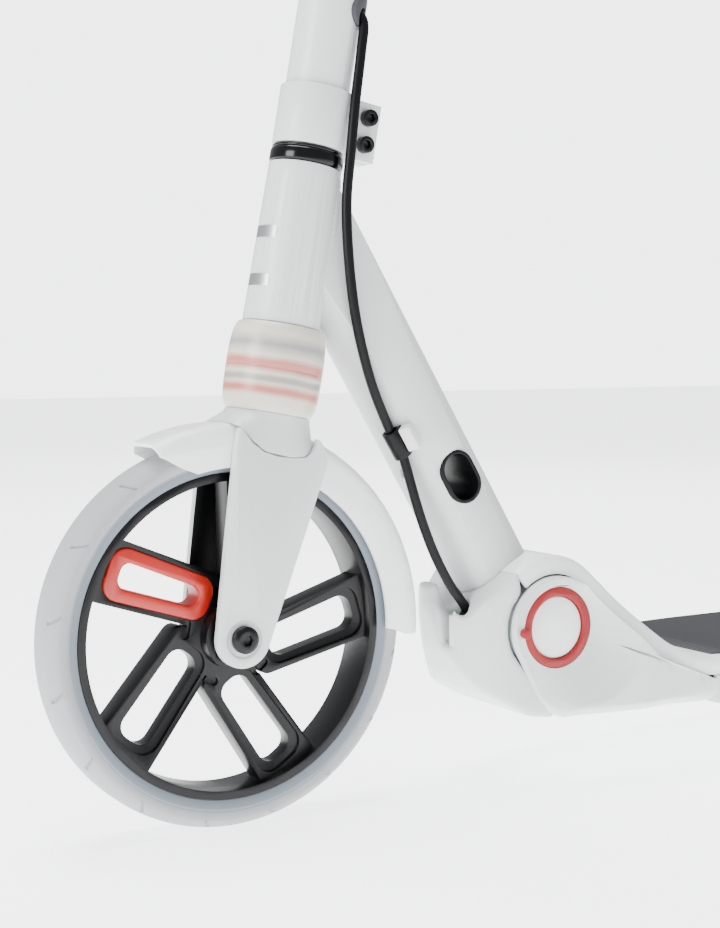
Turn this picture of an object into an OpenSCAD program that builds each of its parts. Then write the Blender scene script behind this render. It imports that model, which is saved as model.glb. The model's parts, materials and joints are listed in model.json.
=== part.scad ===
// Electric kick scooter: fork with a suspension boot, folding column, deck with a hub motor.
// Frame: X forward, Y to the rider's left, Z up, origin on the ground under the middle.

/* [Overall] */
// Distance between the two wheel axles
wheelbase = 800; // [780:5:860]
// Outer radius of both tyres
wheel_r = 100; // [95:1:105]
// Height of the handlebar's centre line over the ground
bar_height = 945; // [850:5:990]
// Width of the handlebar over the grips' ends
bar_width = 440; // [400:5:520]

/* [Wheels] */
// Width of the front tyre
front_tyre_w = 32; // [28:1:32]
// Radius of the front wheel core, where the tyre sits
core_r = 84.3; // [80:0.1:87]
// Width of the front wheel's rim
rim_w = 25; // [20:1:27]
// Thickness of the front wheel's spokes
spoke_t = 14; // [8:1:16]
// Number of spoke loops
spoke_n = 5; // [5:1:5]
// Width of the rear tyre
rear_tyre_w = 44; // [36:1:46]
// Outer radius of the hub motor's shell
motor_r = 76; // [70:1:80]

/* [Fork and head] */
// Lean of the steering axis from the vertical, in degrees
head_lean = 10.4; // [8:0.1:13]
// Distance of the front axle ahead of the steering axis
axle_offset = 5.3; // [0:0.1:10]
// Outer face of each fork blade, from the middle
blade_y = 24; // [24:0.5:28]
// Thickness of a fork blade
blade_t = 4.8; // [4:0.1:5]
// Travel of the fork's suspension
fork_travel = 8; // [4:1:10]
// Length of the head tube
head_len = 83.5; // [75:0.5:100]
// Outer radius of the head tube at its top
head_r = 19.2; // [19:0.1:22]
// Outer radius of the steerer tube
steerer_r = 14.3; // [13:0.1:14.5]
// Outer radius of the lower column tube
column_r = 16.9; // [16.9:0.1:18]
// Length of the lower column tube
column_len = 304; // [260:1:330]
// Height of the clamp collar at the foot of the column
collar_h = 31; // [24:1:36]

/* [Frame and fold] */
// Distance of the fold hinge behind the front axle
hinge_back = 183.3; // [175:0.1:200]
// Height of the fold hinge over the ground
hinge_z = 92.2; // [88:0.1:96]
// Radius of the down tube
tube_r = 22.8; // [20:0.1:24]
// Half width of the folding nose and drum cover
nose_w = 38; // [36:0.5:40]
// Outer radius of the drum cover round the hinge
drum_r = 39.6; // [38:0.1:42]

/* [Deck] */
// Full width of the deck
deck_w = 130; // [110:1:150]
// Height of the standing surface over the ground
deck_z = 70; // [68:0.5:72]
// Height of the deck's underside over the ground
under_z = 41; // [38:0.5:43]
// Thickness of the grip mat
mat_t = 3; // [2:0.5:4]
// Distance of the kickstand's pivot behind the middle of the scooter
stand_back = 120; // [60:5:160]

/* [Handlebar] */
// Radius of the handlebar tube
bar_r = 11.1; // [10:0.1:12.7]
// Length of each grip
grip_len = 112; // [95:1:125]
// Outer radius of each grip
grip_r = 15.5; // [14:0.5:18]

/* [Hidden] */

$fn = 96;
eps = 0.01;
gap = 0.3;             // clearance between bodies that move past each other
slip = 0.05;           // radial clearance of a running fit
front_x = wheelbase / 2;
rear_x = -wheelbase / 2;
hinge_x = front_x - hinge_back;

// levels along the steering axis, from the point nearest the front axle
s_crown = wheel_r + 19;
s_boot = wheel_r + 15.6;
elastomer_h = 24;
s_flange = s_crown + elastomer_h;
flange_h = 10;
s_head = s_flange + flange_h + 9.5;
s_head_top = s_head + head_len;
ring_h = 9.2;
s_column = s_head_top + gap + ring_h + 0.5;
s_column_top = s_column + column_len;
s_bar = (bar_height - wheel_r + axle_offset * sin(head_lean)) / cos(head_lean);
s_join = s_head_top - 20;
stem_r = 10;           // guide stem of the fork, inside the steerer
axle_r = 3.95;
bearing_r = 11;
bearing_w = 7;
hub_w = 30;
pin_r = 6;             // fold hinge pin
drum_in = 29.2;        // inner radius of the nose and drum cover
drum_well = 43.6;      // free radius round the hinge, for the cover's tail
boss_r = 27;
cheek_in = nose_w + gap;
cheek_r = 28.5;
lock_ring_r = 22.5;
disc_r = 17.2;
disc_t = 3;
disc_travel = 4;
disc_y = 41;           // outer face of the button's disc

// Points of the cable's route, from the nose to the column
cable_route = [[262, 12, 96], [258, 13, 101], [264, 15, 109], [272, 16, 119], [282.5, 17, 137],
    [292, 17.5, 159.5], [300.4, 16.3, 187.5], [304.8, 15.9, 195.5], [309.2, 15.9, 203.6],
    [322.5, 19.3, 229.5], [332, 21, 261], [336, 20.6, 292], [336.6, 19.5, 322],
    [333.8, 19.2, 348], [330.3, 18.1, 374], [325.4, 16.1, 401], [323, 14.4, 416], [326, 10.5, 424]];
cable_r = 2.7;
cable_end = cable_route[len(cable_route) - 1];

// Shared frames
module on_axle(x) translate([x, 0, wheel_r]) children();
module side_on(x, y0, y1) // extrudes an outline drawn in X and Z from y0 to y1
    translate([x, y1, 0]) rotate([90, 0, 0]) linear_extrude(y1 - y0) children();
module on_head(s = 0)
    on_axle(front_x) rotate([0, -head_lean, 0]) translate([-axle_offset, 0, s]) children();
module on_hinge() translate([hinge_x, 0, hinge_z]) children();
module across(y0, y1, r, r2 = -1) // a round bar along Y
    translate([0, y0, 0]) rotate([-90, 0, 0]) cylinder(h = y1 - y0, r1 = r, r2 = r2 < 0 ? r : r2);
module ring(h, r, bore) difference() {
    cylinder(h = h, r = r);
    translate([0, 0, -1]) cylinder(h = h + 2, r = bore);
}
module ring_across(y0, y1, r, bore) difference() {
    across(y0, y1, r);
    across(y0 - 1, y1 + 1, bore);
}
function arc(cx, cy, r, a0, a1, n) = [for (i = [0 : n]) let(a = a0 + (a1 - a0) * i / n)
    [cx + r * cos(a), cy + r * sin(a)]];
module slot2d(len, w0, w1, round_r) // a tapered slot along X, with round corners
    let(r = round_r, u = w0 / 2 - r, v = w1 / 2 - r, n = 6) polygon(concat(
        arc(len - r, v, r, 0, 90, n), arc(r, u, r, 90, 180, n),
        arc(r, -u, r, 180, 270, n), arc(len - r, -v, r, 270, 360, n)));
module mirrored_2d(half) // closes a half outline over the X axis
    polygon(concat(half, [for (i = [len(half) - 1 : -1 : 0]) [half[i][0], -half[i][1]]]));
module both_sides() { children(); mirror([0, 1, 0]) children(); }

function smooth(t) = t <= 0 ? 0 : t >= 1 ? 1 : t * t * (3 - 2 * t);
head_dir = [-sin(head_lean), 0, cos(head_lean)];
function head_point(s, fwd = 0, y = 0) =
    [front_x - axle_offset * cos(head_lean), 0, wheel_r - axle_offset * sin(head_lean)]
    + s * head_dir + fwd * [cos(head_lean), 0, sin(head_lean)] + [0, y, 0];
join = head_point(s_join);
tube_len = norm([join[0] - hinge_x, join[2] - hinge_z]);
tube_lean = atan2(join[0] - hinge_x, join[2] - hinge_z);
module on_tube(d = 0) on_hinge() rotate([0, tube_lean, 0]) translate([0, 0, d]) children();

// ---------------------------------------------------------------- front wheel
loop_dir = 20;         // direction of the first loop's long axis
loop_lag = 16;         // how far the loops lean from the radius
loop_mid = 48;
loop_len = 52;
module at_loops(which)
    for (k = which) rotate(loop_dir + loop_lag + k * 360 / spoke_n)
        translate([loop_mid, 0]) rotate(-loop_lag) translate([-loop_len / 2, 0]) children();

module tyre_2d(r, w, seat, flat, corner) // section: x = radius, y = across
    mirrored_2d(concat([[seat, rim_w / 2 - 0.5], [seat + 1, rim_w / 2]],
        arc((r + seat) / 2 - 3, w / 2 - 3, 3, 135, 75, 3),
        arc(r - corner, flat, corner, 62, 0, 6)));

module front_tyre() color([0.83, 0.84, 0.85])
    on_axle(front_x) rotate([90, 0, 0]) rotate_extrude(convexity = 4)
        tyre_2d(wheel_r, front_tyre_w, core_r, 4.6, 11);

module core_2d() difference() {
    circle(r = core_r - 2);
    // windows between the loops
    difference() {
        circle(r = core_r - 4.3);
        circle(r = 24);
        at_loops([0 : spoke_n - 1]) translate([-10, 0]) slot2d(loop_len + 25, 29, 34, 6);
    }
}
module front_core() color([0.09, 0.09, 0.1]) on_axle(front_x) rotate([90, 0, 0]) difference() {
    union() {
        difference() {
            translate([0, 0, -rim_w / 2]) cylinder(h = rim_w, r = core_r);
            translate([0, 0, -rim_w]) cylinder(h = 2 * rim_w, r = core_r - 4.3);
        }
        translate([0, 0, -spoke_t / 2]) linear_extrude(spoke_t, convexity = 8) difference() {
            core_2d();
            at_loops([0 : spoke_n - 1]) slot2d(loop_len, 17, 19, 7);
        }
        translate([0, 0, -hub_w / 2]) cylinder(h = hub_w, r = 17);
    }
    // a shallow seat for an insert round each slot, on both faces
    for (s = [-1, 1]) translate([0, 0, s * (spoke_t / 2 - 1) - 1.5]) linear_extrude(3)
        difference() {
            at_loops([0 : spoke_n - 1]) translate([-4, 0]) slot2d(loop_len + 8, 24, 28, 9);
            circle(r = 18);
        }
    for (k = [0 : spoke_n - 1]) rotate(loop_dir - 9 + k * 360 / spoke_n) translate([25, 0])
        for (s = [-1, 1]) translate([0, 0, s * spoke_t / 2 - 2]) linear_extrude(4)
            rotate(90) translate([-5.2, 0]) slot2d(10.4, 4.4, 4.4, 2.19);
    for (s = [-1, 1]) translate([0, 0, s > 0 ? hub_w / 2 - bearing_w : -hub_w / 2 - 1])
        cylinder(h = bearing_w + 1, r = bearing_r);
    translate([0, 0, -hub_w]) cylinder(h = 2 * hub_w, r = 7);
}
module spoke_insert() color([0.93, 0.27, 0.14]) on_axle(front_x) rotate([90, 0, 0]) {
    seat_z = spoke_t / 2 - 2.5;
    difference() {
        union() {
            for (s = [-1, 1]) translate([0, 0, s > 0 ? seat_z : -seat_z - 3.5])
                linear_extrude(3.5) difference() {
                    at_loops([0]) translate([-3.8, 0]) slot2d(loop_len + 7.6, 23.6, 27.6, 8.8);
                    circle(r = 18.2);
                }
            translate([0, 0, -seat_z - 1]) linear_extrude(2 * seat_z + 2)
                at_loops([0]) translate([0.2, 0]) slot2d(loop_len - 0.4, 16.6, 18.6, 6.8);
        }
        translate([0, 0, -spoke_t]) linear_extrude(2 * spoke_t)
            at_loops([0]) translate([3.5, 0]) slot2d(loop_len - 7, 10.5, 13.5, 5);
    }
}
module front_bearings() color("silver") on_axle(front_x) both_sides()
    ring_across(hub_w / 2 - bearing_w, hub_w / 2, bearing_r, axle_r + slip);

// ---------------------------------------------------------------- fork
blade_in = blade_y - blade_t;
guard_r = wheel_r + 9.5;   // crest of the mudguard, outside
guard_t = 2.2;
module front_axle() color([0.12, 0.12, 0.13]) on_axle(front_x) {
    across(-blade_y - 4.5, blade_y + 0.5, axle_r);
    both_sides() {
        difference() {
            union() {
                across(blade_y - 1, blade_y + 2.5, 7);
                across(blade_y + 2.5, blade_y + 4, 7, 5);
            }
            translate([0, blade_y + 1.5, 0]) rotate([-90, 0, 0]) cylinder(h = 4, r = 2.9, $fn = 6);
        }
        ring_across(hub_w / 2 + gap, blade_in, 6.5, axle_r);
    }
}
// side view of a blade, from the axle: its foot is round and its top follows the crown's seam
blade_front = [2, 104];
blade_back = [-46.8, 92];
module crown_seam_2d() // what lies above the S-shaped seam
    polygon([[12, 130], [6, 111], [0, 107], [-6, 99.5], [-12, 95], [-20, 92.3], [-30, 91],
             [-36, 91], [-40, 93], [-43, 97], [-44, 103], [-62, 130]]);
module blade_2d() difference() {
    union() {
        hull() {
            circle(r = 14.8);
            translate([-6, 96]) circle(r = 9.5, $fn = 48);
            translate([-37, 88]) circle(r = 11.5, $fn = 48);
        }
        hull() {
            translate([-6, 96]) circle(r = 9.5, $fn = 48);
            translate([-37, 92]) circle(r = 10.5, $fn = 48);
            translate([-3, 104]) circle(r = 5, $fn = 32);
        }
    }
    crown_seam_2d();
}
module fork_blades() color([0.86, 0.88, 0.88]) on_axle(front_x) both_sides() difference() {
    side_on(0, blade_in, blade_y) blade_2d();
    across(blade_in - 1, blade_y + 1, axle_r);
    across(blade_y - 1, blade_y + 1, 9, 11);
}
module fork_crown() color([0.88, 0.9, 0.9]) {
    difference() {
        union() {
            intersection() {
                on_head(wheel_r - 30) cylinder(h = s_boot - wheel_r + 30, r1 = 31, r2 = 22.3);
                on_axle(front_x) side_on(0, -blade_y, blade_y) crown_seam_2d();
            }
            on_head(s_boot - 1) cylinder(h = s_crown - s_boot + 1, r = 19.3);
            on_head(s_crown - 1) cylinder(h = s_head_top - s_crown - 12, r = stem_r);
        }
        on_axle(front_x) across(-40, 40, guard_r + gap);
    }
}
module guard_2d(r, w, t, skirt) // section of a mudguard: x = radius, y = across
    difference() {
        mirrored_2d(concat([[skirt, w]], arc(r - 9, w - 9, 9, 90, 0, 8)));
        mirrored_2d(concat([[skirt - 1, w - t]], arc(r - 9, w - 9, 9 - t, 90, 0, 8)));
    }
module front_mudguard() color([0.95, 0.96, 0.96]) on_axle(front_x) difference() {
    rotate([90, 0, 0]) rotate([0, 0, 66]) rotate_extrude(angle = 118, convexity = 6)
        guard_2d(guard_r, blade_in - gap, guard_t, core_r + 3);
    // the front edge sweeps back to the skirt
    side_on(0, -30, 30) polygon([[60, 60], [60, 97], [40, 93], [31, 88], [22, 84.5], [10, 83], [0, 83],
                                 [0, 60]]);
    // the rear tip is cut slanting
    side_on(0, -30, 30) polygon([[-80, -30], [-84, -2], [-92, -4], [-112, -13], [-112, -30]]);
}

// ---------------------------------------------------------------- head and steerer
module steerer() color([0.3, 0.31, 0.32]) on_head() difference() {
    union() {
        translate([0, 0, s_flange]) cylinder(h = s_column + collar_h + 8 - s_flange, r = steerer_r);
        translate([0, 0, s_flange]) cylinder(h = flange_h, r = 19);
        translate([0, 0, s_flange + flange_h]) cylinder(h = 5, r1 = 19, r2 = steerer_r + 1);
    }
    translate([0, 0, s_flange - 1]) cylinder(h = s_column + collar_h + 10 - s_flange,
                                             r = stem_r + slip);
}
module headset_bearings() color("silver") {
    on_head(s_head + 1.5) ring(7, 17.8, steerer_r + slip);
    on_head(s_head_top - 8.5) ring(7, 16.8, steerer_r + slip);
}
module headset_ring() color([0.03, 0.03, 0.03]) on_head(s_head_top + gap) difference() {
    rotate_extrude() polygon([[0, 0], [head_r - 0.9, 0], [head_r - 0.1, 0.5], [head_r + 0.2, 1.6],
        [head_r + 0.2, ring_h - 1.6], [head_r - 0.1, ring_h - 0.5], [head_r - 0.9, ring_h],
        [0, ring_h]]);
    translate([0, 0, -1]) cylinder(h = ring_h + 2, r = steerer_r);
}
lug_back = 35.5;
lug_w = 15;
screw_back = 28;
module clamp_collar() color([0.86, 0.88, 0.87]) on_head(s_column) difference() {
    union() {
        cylinder(h = collar_h, r = column_r + 2.3);
        translate([-lug_back, -lug_w / 2, 0]) cube([lug_back - 10, lug_w, collar_h]);
    }
    translate([0, 0, -1]) cylinder(h = collar_h + 2, r = column_r);
    translate([-lug_back - 1, -0.8, -1]) cube([lug_back, 1.6, collar_h + 2]);
    for (z = [0.27, 0.73]) translate([-screw_back, -20, z * collar_h])
        rotate([-90, 0, 0]) cylinder(h = 40, r = 2.6);
}
module collar_screws() color([0.08, 0.08, 0.08]) on_head(s_column)
    for (z = [0.27, 0.73]) translate([-screw_back, 0, z * collar_h]) {
        across(-lug_w / 2 - 3, lug_w / 2, 2.6);
        difference() {
            across(lug_w / 2, lug_w / 2 + 4.5, 4.4);
            translate([0, lug_w / 2 + 1.5, 0]) rotate([-90, 0, 0]) cylinder(h = 4, r = 2.4, $fn = 6);
        }
    }
column_bore = 15.2;
module column_tube() color([0.87, 0.89, 0.89]) on_head(s_column) difference() {
    cylinder(h = column_len, r = column_r);
    translate([0, 0, -1]) cylinder(h = collar_h + 9, r = steerer_r);
    translate([0, 0, collar_h + 8 - eps]) cylinder(h = column_len, r = column_bore);
    translate([0, 0, grommet_s - s_column]) rotate([0, 0, grommet_turn]) rotate([0, -90, 0])
        cylinder(h = 40, r = grommet_r);
}
grommet_s = s_column + collar_h + 43;
grommet_turn = -46;
grommet_r = 6.5;
module along(a, b, r) // a straight bar from point a to point b
    let(d = b - a) translate(a) rotate([0, acos(d[2] / norm(d)), atan2(d[1], d[0])])
        cylinder(h = norm(d), r = r);
module on_grommet() on_head(grommet_s) rotate([0, 0, grommet_turn]) children();
module cable_grommet() color([0.06, 0.06, 0.06]) difference() {
    on_grommet() intersection() {
        difference() {
            rotate([0, -90, 0]) cylinder(h = 40, r = grommet_r + 2);
            difference() {
                translate([0, 0, -20]) cylinder(h = 40, r = column_r);
                rotate([0, -90, 0]) cylinder(h = 40, r = grommet_r);
            }
        }
        translate([0, 0, -20]) ring(40, column_r + 2.2, column_bore);
    }
    along(2 * cable_route[len(cable_route) - 2] - cable_end, 2 * cable_end
        - cable_route[len(cable_route) - 2], cable_r + 1.6);
}
column_clamp_h = 28;
module column_clamp() color([0.12, 0.12, 0.13]) on_head(s_column_top - column_clamp_h) difference() {
    union() {
        cylinder(h = column_clamp_h, r = column_r + 3);
        translate([-lug_back, -lug_w / 2, 4]) cube([lug_back - 10, lug_w, column_clamp_h - 8]);
    }
    translate([0, 0, -1]) cylinder(h = column_clamp_h + 2, r = column_r);
    translate([-lug_back - 1, -0.8, -1]) cube([lug_back, 1.6, column_clamp_h + 2]);
    translate([-screw_back, -20, column_clamp_h / 2]) rotate([-90, 0, 0]) cylinder(h = 40, r = 3);
}
lever_y = lug_w / 2 + gap;
module clamp_bolt() color("silver") on_head(s_column_top - column_clamp_h / 2)
    translate([-screw_back, 0, 0]) {
        across(-lug_w / 2, lever_y + 6, 3);
        across(-lug_w / 2 - 5, -lug_w / 2, 7);
        across(lever_y + 10 + gap, lever_y + 12 + gap, 5);
        across(lever_y + 6, lever_y + 10 + gap, 3);
    }
module clamp_lever() color([0.12, 0.12, 0.13]) on_head(s_column_top - column_clamp_h / 2)
    translate([-screw_back, 0, 0]) difference() {
        union() {
            across(lever_y, lever_y + 10, 9);
            side_on(0, lever_y + 2, lever_y + 9) hull() {
                circle(r = 7);
                translate([6, -56]) circle(r = 5, $fn = 32);
            }
        }
        across(0, 60, 3 + slip);
    }
tube_i = 13.4;         // radius of the sliding inner tube
module height_bush() color([0.1, 0.1, 0.1]) on_head(s_column_top - 40)
    ring(40, column_bore, tube_i + slip);
boot_h = s_head - gap - s_boot - 0.1;
module boot() color([0.9, 0.87, 0.8, 0.6]) on_head(s_boot + 0.1) rotate_extrude()
    polygon([[19.8, 0], [21.6, 0], [23.2, 1.2], [24.3, 4], [25.1, 9], [25.5, 15], [25.5, boot_h / 2],
        [25.4, boot_h - 15], [24.9, boot_h - 9], [24.1, boot_h - 4], [23, boot_h - 1.2],
        [21.4, boot_h], [19.8, boot_h]]);
module elastomers() color([0.8, 0.25, 0.2]) {
    on_head(s_crown + 0.1) ring(elastomer_h / 2 - 1.6, 18, stem_r + 0.5);
    on_head(s_crown + elastomer_h / 2 + 1.5) ring(elastomer_h / 2 - 1.5, 18, stem_r + 0.5);
}
module elastomer_washer() color([0.3, 0.3, 0.31])
    on_head(s_crown + elastomer_h / 2 - 1.5) ring(3, 18.5, stem_r + 0.5);

// ---------------------------------------------------------------- handlebar
hub_r = 17;
module inner_tube() color("silver") on_head(s_column_top - 120)
    ring(s_bar - s_column_top + 120 - bar_r, tube_i, tube_i - 2);
module handlebar() color([0.14, 0.14, 0.15]) difference() {
    union() {
        on_head(s_bar) across(-bar_width / 2 + 3, bar_width / 2 - 3, bar_r);
        on_head(s_bar) across(-34, 34, bar_r + 3.5);
        on_head(s_bar - 42) cylinder(h = 42, r = hub_r);
    }
    on_head(s_bar - 43) cylinder(h = 43 - bar_r, r = tube_i);
}
module grips() color([0.13, 0.13, 0.14]) on_head(s_bar) both_sides() difference() {
    union() {
        across(bar_width / 2 - grip_len, bar_width / 2, grip_r);
        across(bar_width / 2 - grip_len, bar_width / 2 - grip_len + 5, grip_r + 3);
    }
    across(bar_width / 2 - grip_len - 1, bar_width / 2 - 3, bar_r);
}
display_tilt = 35;
module on_display() on_head(s_bar) rotate([0, -display_tilt, 0]) children();
module display_housing() color([0.08, 0.08, 0.09]) difference() {
    on_display() hull() for (x = [-16, 16], y = [-24, 24])
        translate([x, y, 8]) cylinder(h = 16, r = 7, $fn = 32);
    on_head(s_bar) across(-40, 40, bar_r + 3.5);
    on_head(s_bar - 42) cylinder(h = 42, r = hub_r);
    on_display() translate([-14, -20, 22]) cube([28, 32, 4]);
    on_display() translate([0, 21, 17]) cylinder(h = 10, r = 5 + slip * 2);
}
module display_lens() color([0.02, 0.02, 0.03]) on_display()
    translate([-14, -20, 22]) cube([28, 32, 2.4]);
button_travel = 1.5;
module power_button() color([0.75, 0.2, 0.15]) on_display() translate([0, 21, 17 + button_travel + 0.5])
    cylinder(h = 6.5, r = 5);
lever_in = bar_width / 2 - grip_len - 22;  // where both finger levers sit
module throttle_lever() color([0.1, 0.1, 0.11]) on_head(s_bar) difference() {
    union() {
        across(-lever_in - 18, -lever_in, bar_r + 7);
        side_on(0, -lever_in - 14, -lever_in - 4) hull() {
            circle(r = 8);
            translate([-27, -9]) circle(r = 4, $fn = 32);
        }
    }
    across(-bar_width, 0, bar_r + slip);
}
// the brake lever turns on a pin in front of the bar
lever_room = 4.5;  // the brake lever clears the grip's flange as it is pulled
brake_fwd = bar_r + 11 + lever_room;
module brake_clamp() color([0.1, 0.1, 0.11]) on_head(s_bar) difference() {
    union() {
        across(lever_in, lever_in + 16, bar_r + 4);
        translate([0, lever_in, -9]) cube([brake_fwd + 6, 17, 18]);
    }
    across(lever_in - 1, lever_in + 17, bar_r);
    difference() {
        translate([bar_r + 4.2, lever_in - 1, -5 - gap]) cube([40, 30, 10 + 2 * gap]);
        translate([brake_fwd, lever_in + 9, -9]) cylinder(h = 18, r = 2);
    }
}
module brake_lever() color([0.2, 0.2, 0.21]) on_head(s_bar) difference() {
    union() {
        translate([brake_fwd, lever_in + 9, -5]) cylinder(h = 10, r = 4.4);
        translate([brake_fwd - 3, lever_in + 9, -5]) cube([7, 14, 10]);
        translate([brake_fwd - 3, lever_in + 20, -5]) rotate([0, 0, -14]) cube([6, 78, 10]);
    }
    translate([brake_fwd, lever_in + 9, -6]) cylinder(h = 12, r = 2 + slip);
}

// ---------------------------------------------------------------- main frame
hole_d = 98.7;         // lock hole's place up the down tube
hole_len = 31;
hole_w = 21;
module hole_2d(less = 0) rotate(90) translate([-(hole_len / 2 - less), 0])
    slot2d(hole_len - 2 * less, hole_w - 2 * less, hole_w - 2 * less, hole_w / 2 - less - eps);
module lock_cut(less, y) on_tube(hole_d) rotate([90, 0, 0])
    translate([0, 0, -y]) linear_extrude(2 * y) hole_2d(less);
flat_from = 115;
flat_half = 13;
module main_frame() color([0.86, 0.88, 0.87]) difference() {
    union() {
        on_head(s_head) cylinder(h = head_len, r1 = head_r + 1.3, r2 = head_r);
        on_tube(0) intersection() {
            cylinder(h = tube_len, r = tube_r);
            // the tube's sides are pressed flat towards the head
            rotate([90, 0, 90]) translate([0, 0, -50]) linear_extrude(100) polygon([
                [-tube_r - 1, -1], [tube_r + 1, -1], [tube_r + 1, flat_from], [flat_half, tube_len],
                [-flat_half, tube_len], [-tube_r - 1, flat_from]]);
        }
        on_hinge() across(-boss_r - 1, boss_r + 1, boss_r - 1);
    }
    on_head(s_head - 1) cylinder(h = head_len + 2, r = steerer_r + 1);
    on_head(s_head - 1) cylinder(h = 10.5, r = 17.8);
    on_head(s_head_top - 8.5) cylinder(h = 10, r = 16.8);
    on_tube(36) cylinder(h = flat_from - 40, r = tube_r - 2.5);
    lock_cut(0, 40);
    on_hinge() across(-40, 40, pin_r + slip);
}
module lock_hole_liner() color([0.05, 0.05, 0.05]) difference() {
    lock_cut(0, tube_r);
    lock_cut(2, 40);
}
// side view of the folding nose, from the hinge
module nose_2d() polygon([[23.5, 32.4], [33, 22], [40, 13], [43, 6.5], [46, 5], [48, 8], [51, 21],
    [54, 19], [54.5, 4], [52, -12], [47, -27], [40, -35], [28, -41.5], [14, -49], [0, -51],
    [-1.5, -51], [5.5, -40], [11, -30]]);
module nose_plan() intersection() { // seen from above, from the hinge
    translate([20, 0]) scale([34.5, nose_w]) circle(r = 1, $fn = 128);
    translate([-20, -nose_w]) square([100, 2 * nose_w]);
}
module nose_bulk() intersection() {
    side_on(0, -nose_w, nose_w) nose_2d();
    union() {
        translate([0, 0, -60]) linear_extrude(120) nose_plan();
        translate([-30, -nose_w, -60]) cube([50, 2 * nose_w, 120]);
    }
}
module nose_shell() color([0.9, 0.92, 0.91]) difference() {
    on_hinge() nose_bulk();
    on_hinge() across(-60, 60, drum_in);
    on_tube(0) cylinder(h = 90, r = tube_r + 0.2);
    // throat for the cable, and the well of the insert
    on_hinge() translate([38, 12, 2]) rotate([-6, 40, 0]) cylinder(h = 40, r = 7.5);
    on_hinge() translate([46.5, 14, -10]) cylinder(h = 60, r = 6);
}
module nose_insert() color([0.86, 0.85, 0.82]) difference() {
    on_hinge() translate([46.5, 14, -9.8]) cylinder(h = 17, r = 5.8);
    along(2 * cable_route[1] - cable_route[0], 2 * cable_route[0] - cable_route[1], cable_r + 0.4);
}
band_angle = 131.6;    // where the cover's round top runs out into the slope
cover_end = 172;
module cover_2d(less = 0) intersection() {
    circle(r = drum_well - gap - less);
    union() {
        circle(r = drum_r - less);
        rotate(band_angle) square([drum_r - less, 60]);
    }
    polygon([[0, 0], 90 * [cos(54.5), sin(54.5)], 120 * [cos(100), sin(100)],
        120 * [cos(140), sin(140)], 90 * [cos(cover_end), sin(cover_end)]]);
}
module drum_cover() color([0.95, 0.96, 0.96]) difference() {
    on_hinge() side_on(0, -nose_w, nose_w) cover_2d();
    on_hinge() across(-60, 60, drum_in);
    on_hinge() side_on(0, -nose_w + 3, nose_w - 3) cover_2d(3);
    on_tube(0) cylinder(h = 90, r = tube_r + 0.2);
}

// ---------------------------------------------------------------- cable
function bez(p, i, t) = let(a = p[max(i - 1, 0)], b = p[i], c = p[i + 1],
        d = p[min(i + 2, len(p) - 1)])
    0.5 * (2 * b + (c - a) * t + (2 * a - 5 * b + 4 * c - d) * t * t
        + (3 * b - a - 3 * c + d) * t * t * t);
function spline(p, n) = concat([for (i = [0 : len(p) - 2], k = [0 : n - 1]) bez(p, i, k / n)],
    [p[len(p) - 1]]);
function unit(v) = v / norm(v);
function ring_at(c, dir, r, n) = let(side = unit(cross(dir, [1, 0.3, 0.2])), up = cross(side, dir))
    [for (k = [0 : n - 1]) c + r * (cos(k * 360 / n) * side + sin(k * 360 / n) * up)];
module sweep(route, r, n) {
    m = len(route);
    pts = [for (i = [0 : m - 1]) each ring_at(route[i],
        unit(route[min(i + 1, m - 1)] - route[max(i - 1, 0)]), r, n)];
    quads = [for (i = [0 : m - 2], k = [0 : n - 1]) let(a = i * n + k, b = i * n + (k + 1) % n)
        each [[a, b, b + n], [a, b + n, a + n]]];
    polyhedron(points = pts, convexity = 6,
        faces = concat([[for (k = [n - 1 : -1 : 0]) k]], quads,
                       [[for (k = [0 : n - 1]) (m - 1) * n + k]]));
}
module cable() color([0.03, 0.03, 0.03]) sweep(spline(cable_route, 3), cable_r, 12);
clip_d = 134;          // the clip's place up the down tube
clip_turn = -36;       // its side of the tube
module on_clip() on_tube(clip_d) rotate([0, 0, -clip_turn]) translate([tube_r, 0, 0]) children();
module cable_clip() color([0.05, 0.05, 0.05]) on_clip() difference() {
    union() {
        translate([-2, -5, -8]) cube([5, 10, 16]);
        translate([4.2, 0, -8]) cylinder(h = 16, r = 5.2);
    }
    translate([4.2, 0, -10]) cylinder(h = 20, r = cable_r + 0.9);
    tube_clear();
}
module tube_clear() translate([-tube_r, 0, -30]) cylinder(h = 60, r = tube_r + 0.05);
module clip_tie() color([0.93, 0.93, 0.92]) on_clip() difference() {
    translate([0.2, 5.2, -6]) cube([7, 7, 14]);
    tube_clear();
}
module clip_stud() color([0.7, 0.71, 0.72]) on_tube(clip_d - 20) rotate([0, 0, 20]) difference() {
    translate([tube_r - 1, 0, 0]) rotate([0, 90, 0]) cylinder(h = 3, r1 = 4, r2 = 3.2);
    translate([tube_r + 1, 0, 0]) rotate([0, 90, 0]) cylinder(h = 3, r = 1.6);
    translate([tube_r, 0, 0]) tube_clear();
}

// ---------------------------------------------------------------- deck
deck_end = rear_x + 122;
shell_top = deck_z - 13;
band_top = deck_z - 2;
wall = 3.5;
cheek_y = 42;          // half width of the deck at the hinge
rear_half = 40;        // and at its rear end
function half_w(x) = min(
    cheek_y + (deck_w / 2 - cheek_y) * smooth((hinge_x + 29 - x) / 206),
    rear_half + (deck_w / 2 - rear_half) * smooth((x - deck_end) / 80));
plan_n = 24;
function plan_edge(x0, x1, less) = [for (i = [0 : plan_n]) let(x = x0 + (x1 - x0) * i / plan_n)
    [x, half_w(x) - less]];
module plan_2d(x0, x1, less) let(edge = plan_edge(x0, x1, less))
    polygon(concat(edge, [for (i = [plan_n : -1 : 0]) [edge[i][0], -edge[i][1]]]));
module plan(x0, x1, z0, z1, less = 0)
    translate([0, 0, z0]) linear_extrude(z1 - z0) plan_2d(x0, x1, less);
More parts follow.
